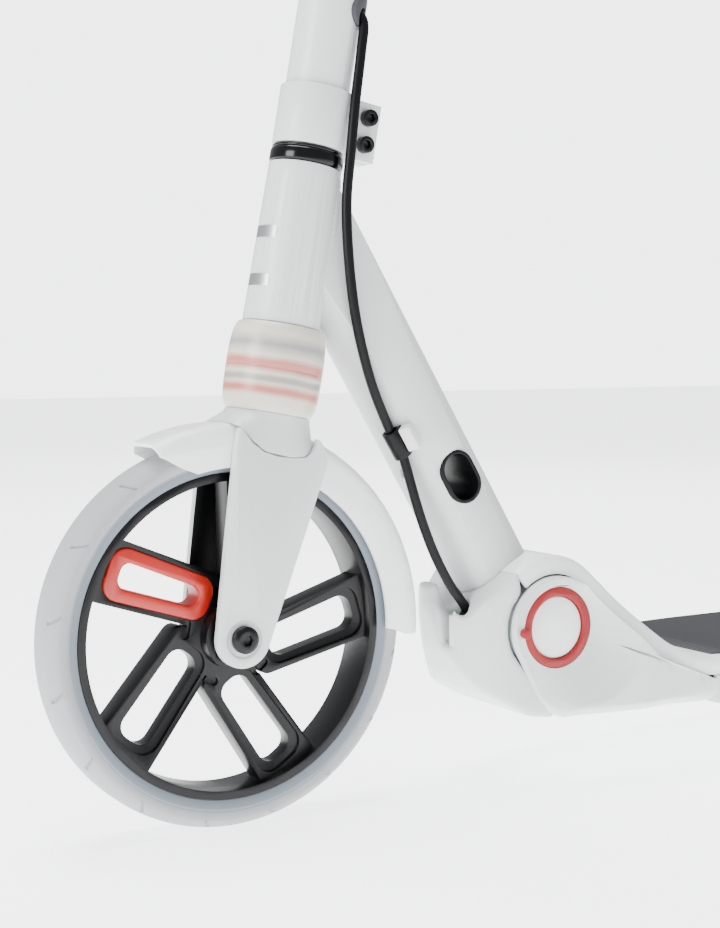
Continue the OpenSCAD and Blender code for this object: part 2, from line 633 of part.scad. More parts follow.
// side view of a cheek's upper edge, from the hinge
cheek_edge = [[-20.2, 20.2], [-57, -14], [-62, -18.8], [-69, -24.3], [-76, -28.2], [-84, -31.2],
    [-93, -33.6], [-104, shell_top - hinge_z]];
module deck_side_2d() { // side view of the casting, from the hinge
    circle(r = cheek_r);
    polygon(concat(cheek_edge, [[deck_end - hinge_x - 20, shell_top - hinge_z],
        [deck_end - hinge_x - 20, under_z - hinge_z], [-18, under_z - hinge_z],
        [-6, -51.8], [3, -48.5], [12, -38], [25.6, -12.5]]));
}
module deck_shell() color([0.84, 0.86, 0.87]) difference() {
    union() {
        difference() {
            intersection() {
                plan(hinge_x + cheek_r + 1, deck_end, 0, 200);
                on_hinge() side_on(0, -80, 80) deck_side_2d();
            }
            // between the cheeks
            on_hinge() side_on(0, -cheek_in, cheek_in) polygon([[-108, -33.5], [-60, -20], [-2, -40],
                [-2, -70], [60, -70], [60, 60], [-108, 60]]);
        }
        on_hinge() both_sides() across(boss_r + 1 + gap, cheek_in + 1, boss_r);
        on_stand() translate([0, 0, -5]) cylinder(h = 10.7, r = 7);
    }
    plan(hinge_x - 99, deck_end + wall, under_z + wall, shell_top + 1, wall);
    on_hinge() difference() {
        across(-cheek_in, cheek_in, drum_well);
        both_sides() across(boss_r + 1 + gap, cheek_in + 1, boss_r);
    }
    // room for the wiring behind the well
    on_hinge() translate([-100, -30, -47.7]) cube([70, 60, 40]);
    plan(hinge_x - 60, hinge_x - 104, under_z + wall, 120, 9);
    on_hinge() both_sides() {
        across(disc_y - disc_t - disc_travel - 0.5, 60, disc_r + gap);
        across(ring_y, 60, lock_ring_r);
        // a shallow dish round the ring
        translate([-14, 0, -9.5]) across(ring_y + 4.4, 80, 33);
    }
    on_hinge() across(-40, 40, pin_r);
    on_stand() translate([0, 0, -6]) cylinder(h = 60, r = 3);
    on_port() across(-1, 40, port_r);
}
ring_y = 38.8;
module lock_rings() color([0.85, 0.32, 0.33]) on_hinge() both_sides()
    ring_across(ring_y, ring_y + 3.8, lock_ring_r, disc_r + gap);
module fold_button() color([0.9, 0.91, 0.92]) on_hinge() {
    across(disc_y - disc_t, disc_y, disc_r);
    across(12, disc_y - disc_t, 3 - slip);
}
module hinge_cap() color([0.9, 0.91, 0.92]) on_hinge()
    across(-disc_y, -(disc_y - disc_t - disc_travel - 0.5), disc_r + gap);
module hinge_pin() color("silver") on_hinge() difference() {
    across(-33, 31, pin_r);
    across(5, 32, 3);
}
// side view of the band's slope, from the hinge
slope_n = [cos(band_angle), sin(band_angle)];
slope_t = [-slope_n[1], slope_n[0]];
band_edge = [drum_r * slope_n + 10 * slope_t, drum_r * slope_n + 58 * slope_t, [-81, -17.2],
    [-91, -21.4], [-100, -23.5], [-110, band_top - hinge_z]];
mat_front = hinge_x - 104;
module trim_band() color([0.94, 0.95, 0.95]) difference() {
    union() {
        intersection() {
            plan(hinge_x + 40, hinge_x - 110, 0, 200, cheek_y - nose_w);
            on_hinge() side_on(0, -80, 80)
                polygon(concat(band_edge, [[-110, shell_top - hinge_z],
                    for (i = [len(cheek_edge) - 1 : -1 : 0]) cheek_edge[i]]));
        }
        plan(hinge_x - 110 + 0.5, deck_end, shell_top, band_top, 1);
    }
    on_hinge() across(-60, 60, drum_well);
    // the hollow under the slope, and the frame's opening for the mat
    intersection() {
        plan(hinge_x + 40, hinge_x - 112, 0, 200, cheek_y - nose_w + 3);
        on_hinge() translate([0, 0, -3]) side_on(0, -80, 80)
            polygon(concat(band_edge, [[-120, band_top - hinge_z - 0.3], [-120, -60], [0, -60]]));
        translate([mat_front - 3, -100, 0]) cube([200, 200, 200]);
    }
    plan(mat_front, deck_end + 7, 0, 200, 8);
}
module deck_plate() color([0.6, 0.61, 0.62])
    plan(mat_front - 0.2, deck_end + 7.2, deck_z - mat_t - 3, deck_z - mat_t, 8.2);
module grip_mat() color([0.2, 0.21, 0.23])
    plan(mat_front - 0.2, deck_end + 7.2, deck_z - mat_t, deck_z, 8.2);
module battery_pack() color([0.15, 0.2, 0.3]) translate([-60, 0, under_z + wall])
    linear_extrude(deck_z - mat_t - 4 - under_z - wall) square([280, deck_w - 30], center = true);
module controller_box() color([0.5, 0.5, 0.52]) translate([84, -20, under_z + wall])
    cube([20, 40, 14]);
port_r = 5.5;
module on_port() translate([20, -half_w(20), (under_z + shell_top) / 2]) children();
module charge_port() color([0.07, 0.07, 0.07]) on_port() difference() {
    union() {
        across(0, 13, port_r);
        across(-1.5, 0, port_r + 2.5);
    }
    across(-2, 10, 3);
}
// kickstand, on a tilted pivot at the deck's left side
stand_out = 35;
stand_z = 47;
stand_bar = 6;
foot_z = 7;
leg_len = (stand_z - foot_z + 9 * sin(stand_out)) / cos(stand_out);
module on_stand() translate([-stand_back, deck_w / 2, stand_z]) rotate([-(90 - stand_out), 0, 0])
    children();
module kickstand_leg() color([0.16, 0.16, 0.17]) on_stand() difference() {
    translate([0, 0, 6]) linear_extrude(stand_bar) hull() {
        circle(r = 8);
        translate([5, leg_len]) circle(r = 5, $fn = 32);
    }
    cylinder(h = 40, r = 3 + slip);
}
module kickstand_foot() color([0.05, 0.05, 0.05]) difference() {
    on_stand() translate([5, leg_len - 10, 9]) rotate([-90, 0, 0]) cylinder(h = 19, r = 8);
    translate([-stand_back - 50, 0, -20]) cube([100, 200, 20]);
    on_stand() translate([0, 0, 6]) linear_extrude(stand_bar) hull() {
        circle(r = 8);
        translate([5, leg_len]) circle(r = 5, $fn = 32);
    }
}
module kickstand_pin() color("silver") on_stand() {
    translate([0, 0, -6]) cylinder(h = 12 + stand_bar + gap, r = 3);
    translate([0, 0, 6 + stand_bar + gap]) cylinder(h = 2.5, r = 6);
}

// ---------------------------------------------------------------- rear wheel and brake
arm_in = 31;
arm_out = 37;
guard_x = deck_end - 9;
guard_z = deck_z + 7;
module rear_fork() color([0.16, 0.16, 0.17]) difference() {
    union() {
        translate([deck_end - 9, -arm_out, under_z + 2]) cube([9, 2 * arm_out, 20]);
        both_sides() side_on(0, arm_in, arm_out) hull() {
            translate([rear_x, wheel_r]) circle(r = 14);
            translate([deck_end - 5, under_z + 7]) circle(r = 5, $fn = 32);
            translate([deck_end - 5, under_z + 20]) circle(r = 5, $fn = 32);
        }
        both_sides() side_on(0, arm_in - 4, arm_in + 1) hull() {
            translate([guard_x, guard_z]) circle(r = 6, $fn = 32);
            translate([guard_x + 3, under_z + 18]) circle(r = 6, $fn = 32);
        }
    }
    on_axle(rear_x) across(-60, 60, 6);
    translate([guard_x, 0, guard_z]) across(-60, 60, 2.5);
}
module motor_axle() color("silver") on_axle(rear_x) {
    across(-arm_out - 9, arm_out + 9, 6);
    both_sides() difference() {
        across(arm_out, arm_out + 7, 9.5);
        across(arm_out - 1, arm_out + 20, 6);
    }
    both_sides() ring_across(24 + gap, arm_in, 9, 6);
    ring_across(-11, 11, 58, 6);
}
module rear_tyre() color([0.83, 0.84, 0.85])
    on_axle(rear_x) rotate([90, 0, 0]) rotate_extrude(convexity = 4)
        tyre_2d(wheel_r, rear_tyre_w, motor_r, 9, 12);
module motor_shell() color([0.12, 0.12, 0.13]) on_axle(rear_x) difference() {
    union() {
        across(-20, 20, motor_r);
        both_sides() across(20, 24, motor_r - 12, 30);
    }
    across(-14, 14, 62);
    across(-40, 40, 6 + slip);
}
rear_guard_r = wheel_r + 7.2;
module rear_guard() color([0.14, 0.14, 0.15]) {
    on_axle(rear_x) rotate([90, 0, 0]) rotate([0, 0, -4]) rotate_extrude(angle = 134, convexity = 6)
        guard_2d(rear_guard_r, rear_tyre_w / 2 + 4, guard_t, wheel_r - 7);
    difference() {
        union() {
            translate([guard_x, 0, guard_z]) across(-arm_in + 4 + gap, arm_in - 4 - gap, 5);
            side_on(0, -18, 18) polygon([[guard_x - 3.5, guard_z - 2], [guard_x + 3.5, guard_z + 2],
                [rear_x + rear_guard_r - 0.6, wheel_r + 8], [rear_x + rear_guard_r - 2, wheel_r]]);
        }
        translate([guard_x, 0, guard_z]) across(-60, 60, 2.5 + slip);
    }
}
module guard_pin() color("silver") translate([guard_x, 0, guard_z]) across(-arm_in - 1, arm_in + 1, 2.5);
deck_shell();
trim_band();
grip_mat();
deck_plate();
battery_pack();
controller_box();
hinge_pin();
lock_rings();
hinge_cap();
fold_button();
charge_port();
rear_fork();
motor_axle();
rear_tyre();
motor_shell();
rear_guard();
guard_pin();
kickstand_leg();
kickstand_foot();
kickstand_pin();
main_frame();
lock_hole_liner();
nose_shell();
nose_insert();
drum_cover();
cable_clip();
clip_tie();
clip_stud();
headset_bearings();
cable();
steerer();
headset_ring();
clamp_collar();
collar_screws();
column_tube();
cable_grommet();
column_clamp();
height_bush();
clamp_bolt();
clamp_lever();
boot();
elastomers();
elastomer_washer();
fork_crown();
fork_blades();
front_mudguard();
front_axle();
front_tyre();
front_core();
spoke_insert();
front_bearings();
inner_tube();
handlebar();
grips();
display_housing();
display_lens();
power_button();
throttle_lever();
brake_clamp();
brake_lever();
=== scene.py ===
# %% [markdown]
# # An electric kick scooter
# The object is a white folding scooter: a 200 mm front wheel in a short fork, a rubber boot over
# the fork's spring, a head tube on a slanted down tube, and a deck that folds at a coral ring.
# The imported model is loaded first. Its box is kept. The looks may not change the size.

# %% Load the imported model
import json
from math import asin, atan2, cos, degrees, hypot, pi, radians, sin, sqrt

import bpy
from mathutils import Matrix, Vector

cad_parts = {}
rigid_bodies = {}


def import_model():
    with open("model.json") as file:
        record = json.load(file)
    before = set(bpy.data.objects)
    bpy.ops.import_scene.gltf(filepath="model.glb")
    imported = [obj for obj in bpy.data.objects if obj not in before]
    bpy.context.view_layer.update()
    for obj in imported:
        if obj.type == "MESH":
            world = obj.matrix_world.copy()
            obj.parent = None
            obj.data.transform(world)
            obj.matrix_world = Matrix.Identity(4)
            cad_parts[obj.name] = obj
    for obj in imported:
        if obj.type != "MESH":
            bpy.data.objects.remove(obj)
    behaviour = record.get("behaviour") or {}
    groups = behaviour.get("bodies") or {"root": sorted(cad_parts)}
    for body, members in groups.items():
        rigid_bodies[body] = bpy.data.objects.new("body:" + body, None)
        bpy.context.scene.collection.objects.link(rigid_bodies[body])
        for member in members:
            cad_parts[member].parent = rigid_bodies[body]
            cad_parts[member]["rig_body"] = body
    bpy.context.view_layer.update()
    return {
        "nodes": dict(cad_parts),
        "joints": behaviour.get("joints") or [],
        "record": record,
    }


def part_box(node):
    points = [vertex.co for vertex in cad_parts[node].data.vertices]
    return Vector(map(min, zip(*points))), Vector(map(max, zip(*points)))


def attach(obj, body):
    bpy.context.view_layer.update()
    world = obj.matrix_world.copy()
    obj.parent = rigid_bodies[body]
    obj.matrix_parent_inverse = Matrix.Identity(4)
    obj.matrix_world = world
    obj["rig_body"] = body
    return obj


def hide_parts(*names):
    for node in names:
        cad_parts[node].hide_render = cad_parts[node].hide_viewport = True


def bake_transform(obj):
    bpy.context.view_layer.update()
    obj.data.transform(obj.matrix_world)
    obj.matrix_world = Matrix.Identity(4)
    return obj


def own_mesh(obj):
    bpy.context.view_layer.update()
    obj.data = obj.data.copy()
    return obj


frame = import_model()
nodes = frame["nodes"]

# %% [markdown]
# ## Measures that everything shares
# The wheel's axle, the fold hinge and the steering axis come from the frame's own boxes and
# joints, so a piece lands where the model says. Side views are drawn from the front axle.

# %% Shared measures
MM = 0.001


def centre(node):
    low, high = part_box(node)
    return (low + high) / 2


joint = {j["name"]: j for j in frame["joints"]}
axle = centre("front_tyre")
rear_axle = centre("rear_tyre")
hinge = Vector(joint["fold"]["pos_m"])
head_dir = Vector(joint["steer"]["axis"]).normalized()
head_foot = Vector(joint["steer"]["pos_m"]) - head_dir * 0.2
head_fwd = Vector((head_dir.z, 0, -head_dir.x))
slot_of = {s["node"]: s["material_slot"] for s in frame["record"]["subparts"]}
print("axle", axle, "hinge", hinge, "lean", round(degrees(asin(-head_dir.x)), 2))


def on_head(along, forward=0.0, left=0.0):
    return head_foot + head_dir * along + head_fwd * forward + Vector((0, left, 0))


# %% [markdown]
# ## Camera
# A long lens looks at the front wheel and the fold from the rider's left, a little above the
# axle, thirty degrees ahead of square.

# %% Camera
view_yaw, view_dip, view_roll = radians(30.015), radians(3.94), radians(-0.314)
eye = Vector((0.7499, 0.7473, 0.2440))
film_height, focal_length = 36, 36 * 1600 / 928
ahead = Vector((-sin(view_yaw) * cos(view_dip), -cos(view_yaw) * cos(view_dip), -sin(view_dip)))
right = ahead.cross(Vector((0, 0, 1))).normalized()
up = right.cross(ahead)
right, up = (cos(view_roll) * right + sin(view_roll) * up, cos(view_roll) * up - sin(view_roll) * right)
camera_data = bpy.data.cameras.new("camera")
camera_data.sensor_fit = "VERTICAL"
camera_data.sensor_height = film_height
camera_data.lens = focal_length
camera = bpy.data.objects.new("camera", camera_data)
bpy.context.scene.collection.objects.link(camera)
camera.matrix_world = Matrix((
    (right.x, up.x, -ahead.x, eye.x), (right.y, up.y, -ahead.y, eye.y),
    (right.z, up.z, -ahead.z, eye.z), (0, 0, 0, 1)))
bpy.context.scene.camera = camera
print("camera at", eye)

# %% [markdown]
# ## Floor and light
# The scooter stands on a plain pale floor in a bright studio. One big soft light from above and
# two from the sides keep white paint readable: the shaded side falls only a little darker. The
# walls light the scooter weakly, and the camera sees a brighter backdrop in their place.

# %% Floor and light
bpy.ops.object.select_all(action="DESELECT")
bpy.ops.mesh.primitive_plane_add(size=16, location=(0, 0, 0))
floor = bpy.context.object
floor.name = "floor"


def lamp(name, at, aim, size, power):
    data = bpy.data.lights.new(name, "AREA")
    data.shape = "SQUARE"
    data.size = size
    data.energy = power
    obj = bpy.data.objects.new(name, data)
    bpy.context.scene.collection.objects.link(obj)
    obj.location = at
    obj.rotation_euler = (Vector(aim) - Vector(at)).to_track_quat("-Z", "Y").to_euler()
    return obj


lamp("top_light", (0.5, -0.2, 2.2), (0.3, 0, 0.2), 1.3, 76)
lamp("front_light", (2.3, 0.3, 0.8), (0.3, 0, 0.2), 0.9, 40)
lamp("back_light", (-1.2, -1.6, 1.4), (0.2, 0, 0.2), 1.6, 16)
world = bpy.data.worlds.new("studio")
world.use_nodes = True
studio = world.node_tree
walls = studio.nodes["Background"]
walls.inputs["Color"].default_value = (0.94, 0.97, 1.0, 1)
walls.inputs["Strength"].default_value = 0.62
backdrop = studio.nodes.new("ShaderNodeBackground")
backdrop.inputs["Color"].default_value = (0.98, 0.99, 1.0, 1)
backdrop.inputs["Strength"].default_value = 4.3
light_path = studio.nodes.new("ShaderNodeLightPath")
walls_or_backdrop = studio.nodes.new("ShaderNodeMixShader")
studio.links.new(light_path.outputs["Is Camera Ray"], walls_or_backdrop.inputs[0])
studio.links.new(walls.outputs[0], walls_or_backdrop.inputs[1])
studio.links.new(backdrop.outputs[0], walls_or_backdrop.inputs[2])
studio.links.new(walls_or_backdrop.outputs[0], studio.nodes["World Output"].inputs["Surface"])
bpy.context.scene.world = world

# %% [markdown]
# ## A small language for materials
# A finish is a sum of faint patterns. To write them as sums, a class wraps a socket, and each
# operator adds the Math node that does the work. Everything that is the same all over the
# surface is set on the shader's own socket instead.

# %% Socket class
class Flow:
    def __init__(self, tree, socket):
        self.tree, self.socket = tree, socket

    def math(self, operation, *others):
        made = self.tree.nodes.new("ShaderNodeMath")
        made.operation = operation
        for k, value in enumerate((self,) + others):
            if isinstance(value, Flow):
                self.tree.links.new(value.socket, made.inputs[k])
            else:
                made.inputs[k].default_value = value
        return Flow(self.tree, made.outputs[0])

    def _first(self, operation, value):
        made = self.tree.nodes.new("ShaderNodeMath")
        made.operation = operation
        made.inputs[0].default_value = value
        self.tree.links.new(self.socket, made.inputs[1])
        return Flow(self.tree, made.outputs[0])

    def __add__(self, other): return self.math("ADD", other)
    def __radd__(self, other): return self.math("ADD", other)
    def __sub__(self, other): return self.math("SUBTRACT", other)
    def __rsub__(self, other): return self._first("SUBTRACT", other)
    def __mul__(self, other): return self.math("MULTIPLY", other)
    def __rmul__(self, other): return self.math("MULTIPLY", other)
    def __rmul__(self, other): return self.math("MULTIPLY", other)
    def __truediv__(self, other): return self.math("DIVIDE", other)
    def __rtruediv__(self, other): return self._first("DIVIDE", other)
    def __pow__(self, other): return self.math("POWER", other)
    def __rpow__(self, other): return self._first("POWER", other)

    def between(self, low, high, soft):
        """1 where the value is between low and high, with soft edges."""
        rise = ((self - low) / soft).math("MINIMUM", 1.0).math("MAXIMUM", 0.0)
        fall = ((high - self) / soft).math("MINIMUM", 1.0).math("MAXIMUM", 0.0)
        return rise * fall


class Finish:
    """One material: its node tree, a place on the piece, and its shader."""

    def __init__(self, name, colour, rough, metallic=0.0, coat=0.0, coat_rough=0.1, **constants):
        self.material = bpy.data.materials.new(name)
        self.material.use_nodes = True
        self.tree = self.material.node_tree
        self.shader = self.tree.nodes["Principled BSDF"]
        for label, value in {"Base Color": (*colour, 1), "Roughness": rough, "Metallic": metallic,
                             "Coat Weight": coat, "Coat Roughness": coat_rough,
                             **constants}.items():
            self.shader.inputs[label].default_value = value
        self.place = self.node("ShaderNodeTexCoord").outputs["Object"]

    def node(self, kind, settings=None, **inputs):
        made = self.tree.nodes.new(kind)
        for key, value in (settings or {}).items():
            setattr(made, key, value)
        for label, value in inputs.items():
            socket = made.inputs[int(label[1:])] if label[0] == "_" else made.inputs[label]
            if isinstance(value, Flow):
                self.tree.links.new(value.socket, socket)
            elif isinstance(value, bpy.types.NodeSocket):
                self.tree.links.new(value, socket)
            else:
                socket.default_value = value
        return made

    def flow(self, socket):
        return Flow(self.tree, socket)

    def noise(self, scale, detail=2.0, **more):
        made = self.node("ShaderNodeTexNoise", None, Vector=self.place, Scale=scale, Detail=detail,
                         **more)
        return self.flow(made.outputs["Fac"])

    def axes(self):
        made = self.node("ShaderNodeSeparateXYZ", None, _0=self.place)
        return [self.flow(made.outputs[k]) for k in range(3)]

    def blend(self, amount, one, two):
        """Colour one where amount is 0, colour two where it is 1."""
        made = self.node("ShaderNodeMix", {"data_type": "RGBA"}, _0=amount)
        for k, value in ((6, one), (7, two)):
            if isinstance(value, bpy.types.NodeSocket):
                self.tree.links.new(value, made.inputs[k])
            else:
                made.inputs[k].default_value = (*value, 1)
        return made.outputs[2]

    def set(self, label, value):
        socket = value.socket if isinstance(value, Flow) else value
        self.tree.links.new(socket, self.shader.inputs[label])

    def relief(self, height, distance, strength=1.0):
        made = self.node("ShaderNodeBump", None, Height=height, Distance=distance,
                         Strength=strength)
        self.tree.links.new(made.outputs["Normal"], self.shader.inputs["Normal"])


def shade(colour, factor):
    return tuple(min(1.0, c * factor) for c in colour)


# %% [markdown]
# ## Paint, plastic and metal
# Paint has a faint orange peel and a very slight change of tone over a hand's width. Moulded
# plastic has a finer, duller grain. Metal has a tone that changes a little and a low roughness.

# %% Everyday finishes
def everyday(name, colour, rough, peel, depth, drift=0.03, spread=0.06, **more):
    made = Finish(name, colour, rough, **more)
    slow, fine = made.noise(18, 3), made.noise(peel, 3)
    made.set("Base Color", made.blend(slow, shade(colour, 1 - drift), shade(colour, 1 + drift)))
    made.set("Roughness", rough - spread / 2 + fine * spread)
    made.relief(fine, depth)
    return made


finishes = {
    "white_paint": everyday("white_paint", (0.62, 0.655, 0.65), 0.38, 1400, 0.00003, 0.012, 0.05,
                            coat=0.25, coat_rough=0.25),
    "white_trim": everyday("white_trim", (0.88, 0.89, 0.89), 0.36, 2200, 0.00002, 0.01, 0.05,
                           coat=0.15, coat_rough=0.3),
    "grip_rubber": everyday("grip_rubber", (0.035, 0.037, 0.042), 0.72, 2600, 0.00008, 0.1, 0.12),
    "bare_metal": everyday("bare_metal", (0.6, 0.61, 0.62), 0.35, 900, 0.00002, metallic=1.0),
    "steel": everyday("steel", (0.55, 0.55, 0.56), 0.28, 1500, 0.00001, metallic=1.0),
    "coral_paint": everyday("coral_paint", (0.27, 0.012, 0.014), 0.45, 1800, 0.00002, 0.04, 0.05,
                            **{"Specular IOR Level": 0.3}),
    "black_plastic": everyday("black_plastic", (0.002, 0.002, 0.0025), 0.4, 2600, 0.00004, 0.1,
                              **{"Specular IOR Level": 0.18}),
    "black_gloss": everyday("black_gloss", (0.0015, 0.0015, 0.002), 0.16, 900, 0.000004, 0.1, 0.03,
                            **{"Specular IOR Level": 0.3}),
    "black_metal": everyday("black_metal", (0.0025, 0.0025, 0.003), 0.32, 1900, 0.00003, 0.12, 0.08,
                            **{"Specular IOR Level": 0.26}),
    "orange_insert": everyday("orange_insert", (0.44, 0.008, 0.0005), 0.42, 1600, 0.00002, 0.04,
                              0.05, coat=0.2, coat_rough=0.2),
    "red_rubber": everyday("red_rubber", (0.5, 0.05, 0.04), 0.55, 1600, 0.00003),
    "off_white_plastic": everyday("off_white_plastic", (0.74, 0.73, 0.7), 0.45, 1500, 0.00003,
                                  0.02),
    "battery_film": everyday("battery_film", (0.03, 0.06, 0.15), 0.4, 700, 0.00004),
}
floor_finish = Finish("pale_floor", (0.93, 0.935, 0.94), 0.9,
                      **{"Emission Color": (0.98, 0.99, 1.0, 1), "Emission Strength": 2.7,
                         "Specular IOR Level": 0.0})
floor.data.materials.append(floor_finish.material)
print("finishes", len(finishes))

# %% [markdown]
# ## Tyre rubber
# The tyres are pale grey. The sidewall next to the rim is a darker blue grey, and the tread is
# lighter and dusty. The band is a ring round the axle, so the colour follows the distance from
# the axle, worked out from the piece's own coordinates.

# %% Tyre finish
def tyre_finish(name, hub, band_in, band_out):
    made = Finish(name, (0.5, 0.52, 0.55), 0.62)
    x, _, z = made.axes()
    radius = (((x - hub.x) ** 2.0) + ((z - hub.z) ** 2.0)) ** 0.5
    band = radius.between(band_in, band_out, 0.0012)
    dust = made.noise(45, 4)
    tread = made.blend(dust, (0.325, 0.34, 0.35), (0.338, 0.352, 0.36))
    made.set("Base Color", made.blend(band, tread, (0.165, 0.195, 0.225)))
    fine = made.noise(2400, 2)
    made.set("Roughness", 0.58 + fine * 0.12)
    made.relief(fine, 0.00005)
    return made


front_rubber = tyre_finish("front_tyre_rubber", axle, 0.08, 0.0899)
rear_rubber = tyre_finish("rear_tyre_rubber", rear_axle, 0.07, 0.081)

# %% [markdown]
# ## Milky rubber boot
# The boot is translucent: red and grey rings inside it show as soft, blurred bands. Light spreads
# inside the rubber, so the shader scatters a little, and the bands are painted soft.

# %% Boot finish
boot_rubber = Finish("boot_rubber", (0.76, 0.72, 0.66), 0.32, coat=0.2, coat_rough=0.25,
                     **{"Subsurface Weight": 0.25, "Subsurface Scale": 0.006})
boot_x, _, boot_z = boot_rubber.axes()
height = (boot_x - head_foot.x) * head_dir.x + (boot_z - head_foot.z) * head_dir.z
cloud = boot_rubber.noise(70, 2)
wave = height + (cloud - 0.5) * 0.0015
tone = boot_rubber.blend(cloud, (0.60, 0.56, 0.46), (0.68, 0.65, 0.56))
ring_red, ring_grey, ring_brown = (0.5, 0.09, 0.07), (0.24, 0.25, 0.25), (0.25, 0.21, 0.2)
for low, high, soft, strength, ring_colour in (
        (0.1448, 0.1560, 0.005, 0.8, ring_grey), (0.1354, 0.1445, 0.0032, 0.85, ring_red),
        (0.1298, 0.1354, 0.002, 0.75, ring_brown), (0.1232, 0.1304, 0.0028, 0.85, ring_red)):
    tone = boot_rubber.blend(wave.between(low, high, soft) * strength, tone, ring_colour)
boot_rubber.set("Base Color", tone)
boot_rubber.relief(boot_rubber.noise(1200, 2), 0.00003)
finishes["milky_rubber"] = boot_rubber


def coat_with(piece, finish):
    piece.data.materials.clear()
    piece.data.materials.append(finish.material)


for name, node in nodes.items():
    coat_with(node, finishes.get(slot_of[name]) or front_rubber)
coat_with(nodes["rear_tyre"], rear_rubber)
print("every node has a finish")

# %% [markdown]
# ## Softening a machined piece
# Real edges catch a thin line of light. A copy of a node's mesh is merged, its flat faces are
# joined again, and its edges are bevelled. Then it is shaded smooth up to an angle.

# %% Helpers for pieces
def pick(*objects):
    if bpy.context.object and bpy.context.object.mode != "OBJECT":
        bpy.ops.object.mode_set(mode="OBJECT")
    bpy.ops.object.select_all(action="DESELECT")
    for o in objects:
        o.select_set(True)
    bpy.context.view_layer.objects.active = objects[0]


def apply_modifier(piece, kind, **settings):
    made = piece.modifiers.new(kind.lower(), kind)
    for key, value in settings.items():
        setattr(made, key, value)
    pick(piece)
    bpy.ops.object.modifier_apply(modifier=made.name)


def settle(piece, body, slot, *replaced, smooth_to=35, finish=None):
    """Finishes a piece: shading, material, body and the nodes that it stands for."""
    pick(piece)
    bpy.ops.object.shade_smooth_by_angle(angle=radians(smooth_to))
    coat_with(piece, finish or finishes[slot])
    if body:
        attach(piece, body)
    if replaced:
        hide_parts(*replaced)
    print(piece.name, len(piece.data.polygons), "faces on", body)
    return piece


weld_gap, flat_angle, corner_angle = 0.00002, radians(1.5), radians(32)


def copied(node):
    piece = bpy.data.objects.new(node + "_form", nodes[node].data.copy())
    bpy.context.scene.collection.objects.link(piece)
    return piece


def cleaned(node):
    """A copy of a node's mesh, with its points merged and its flat faces joined again."""
    piece = copied(node)
    pick(piece)
    bpy.ops.object.mode_set(mode="EDIT")
    bpy.ops.mesh.select_all(action="SELECT")
    bpy.ops.mesh.remove_doubles(threshold=weld_gap)
    bpy.ops.mesh.dissolve_limited(angle_limit=flat_angle)
    bpy.ops.object.mode_set(mode="OBJECT")
    return piece


def refined(node, width):
    piece = cleaned(node)
    apply_modifier(piece, "BEVEL", width=width, segments=2, limit_method="ANGLE",
                   angle_limit=corner_angle, harden_normals=False)
    return settle(piece, nodes[node]["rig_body"], slot_of[node], node)


for node, width in {
        "front_core": 0.0011, "spoke_insert": 0.0012, "front_axle": 0.0005,
        "front_mudguard": 0.0007, "fork_blades": 0.0022, "clamp_collar": 0.0008,
        "collar_screws": 0.0004, "column_tube": 0.0004, "main_frame": 0.0012,
        "lock_hole_liner": 0.0006, "nose_insert": 0.001, "lock_rings": 0.0007,
        "fold_button": 0.0008, "hinge_cap": 0.0008, "cable_clip": 0.0005, "clip_tie": 0.0012,
        "clip_stud": 0.0004, "cable_grommet": 0.0004, "column_clamp": 0.0008,
        "clamp_lever": 0.001, "clamp_bolt": 0.0004, "inner_tube": 0.0003, "handlebar": 0.0006,
        "display_housing": 0.001, "display_lens": 0.0004, "power_button": 0.0006,
        "throttle_lever": 0.0012, "brake_clamp": 0.0008, "brake_lever": 0.0012,
        "rear_fork": 0.001, "motor_shell": 0.0012, "motor_axle": 0.0005,
        "rear_guard": 0.0007, "kickstand_leg": 0.001, "kickstand_foot": 0.001,
        "kickstand_pin": 0.0005, "charge_port": 0.0006}.items():
    refined(node, width)

# %% [markdown]
# ## Shapes that are drawn, not machined
# A casting or moulding isn't a bevelled block. Its surface is a grid of points that is computed
# ring by ring, so the rounding can change along the way. The grid starts as a primitive with the
# right number of points, and each point is then moved to its place. A turned piece is such a
# grid too.

# %% Grid helper
def woven(name, rows, close_row=False, cap=True):
    """A skin over equal rows of points. A row can close on itself, and the ends can be capped."""
    across, along = len(rows[0]), len(rows)
    bpy.ops.object.select_all(action="DESELECT")
    bpy.ops.mesh.primitive_grid_add(x_subdivisions=across - 1, y_subdivisions=along - 1, size=1)
    piece = bpy.context.object
    piece.name = name
    flat = [p for row in rows for p in row]
    for vertex, place in zip(piece.data.vertices, flat):
        vertex.co = place
    pick(piece)
    bpy.ops.object.mode_set(mode="EDIT")
    if close_row:
        bpy.ops.mesh.select_all(action="SELECT")
        bpy.ops.mesh.remove_doubles(threshold=0.000005)
    if cap:
        bpy.ops.mesh.select_all(action="DESELECT")
        bpy.ops.mesh.select_mode(type="EDGE")
        bpy.ops.mesh.select_non_manifold()
        bpy.ops.mesh.fill_holes(sides=0) if close_row else bpy.ops.mesh.edge_face_add()
    bpy.ops.mesh.select_all(action="SELECT")
    bpy.ops.mesh.normals_make_consistent(inside=False)
    bpy.ops.mesh.select_mode(type="VERT")
    bpy.ops.object.mode_set(mode="OBJECT")
    return piece


def spun(name, section, hub, axis="Y", steps=160):
    """A closed section, as (radius, along the axis) pairs, turned once round the hub."""
    rows = []
    for k in range(steps + 1):
        turn = 2 * pi * (k % steps) / steps
        if axis == "Y":
            rows.append([hub + Vector((r * cos(turn), a, r * sin(turn))) for r, a in section])
        else:
            side = Vector((0, 1, 0))
            rows.append([hub + head_dir * a + (head_fwd * cos(turn) + side * sin(turn)) * r
                         for r, a in section])
    for row in rows:
        row.append(row[0])
    return woven(name, rows, close_row=True, cap=False)
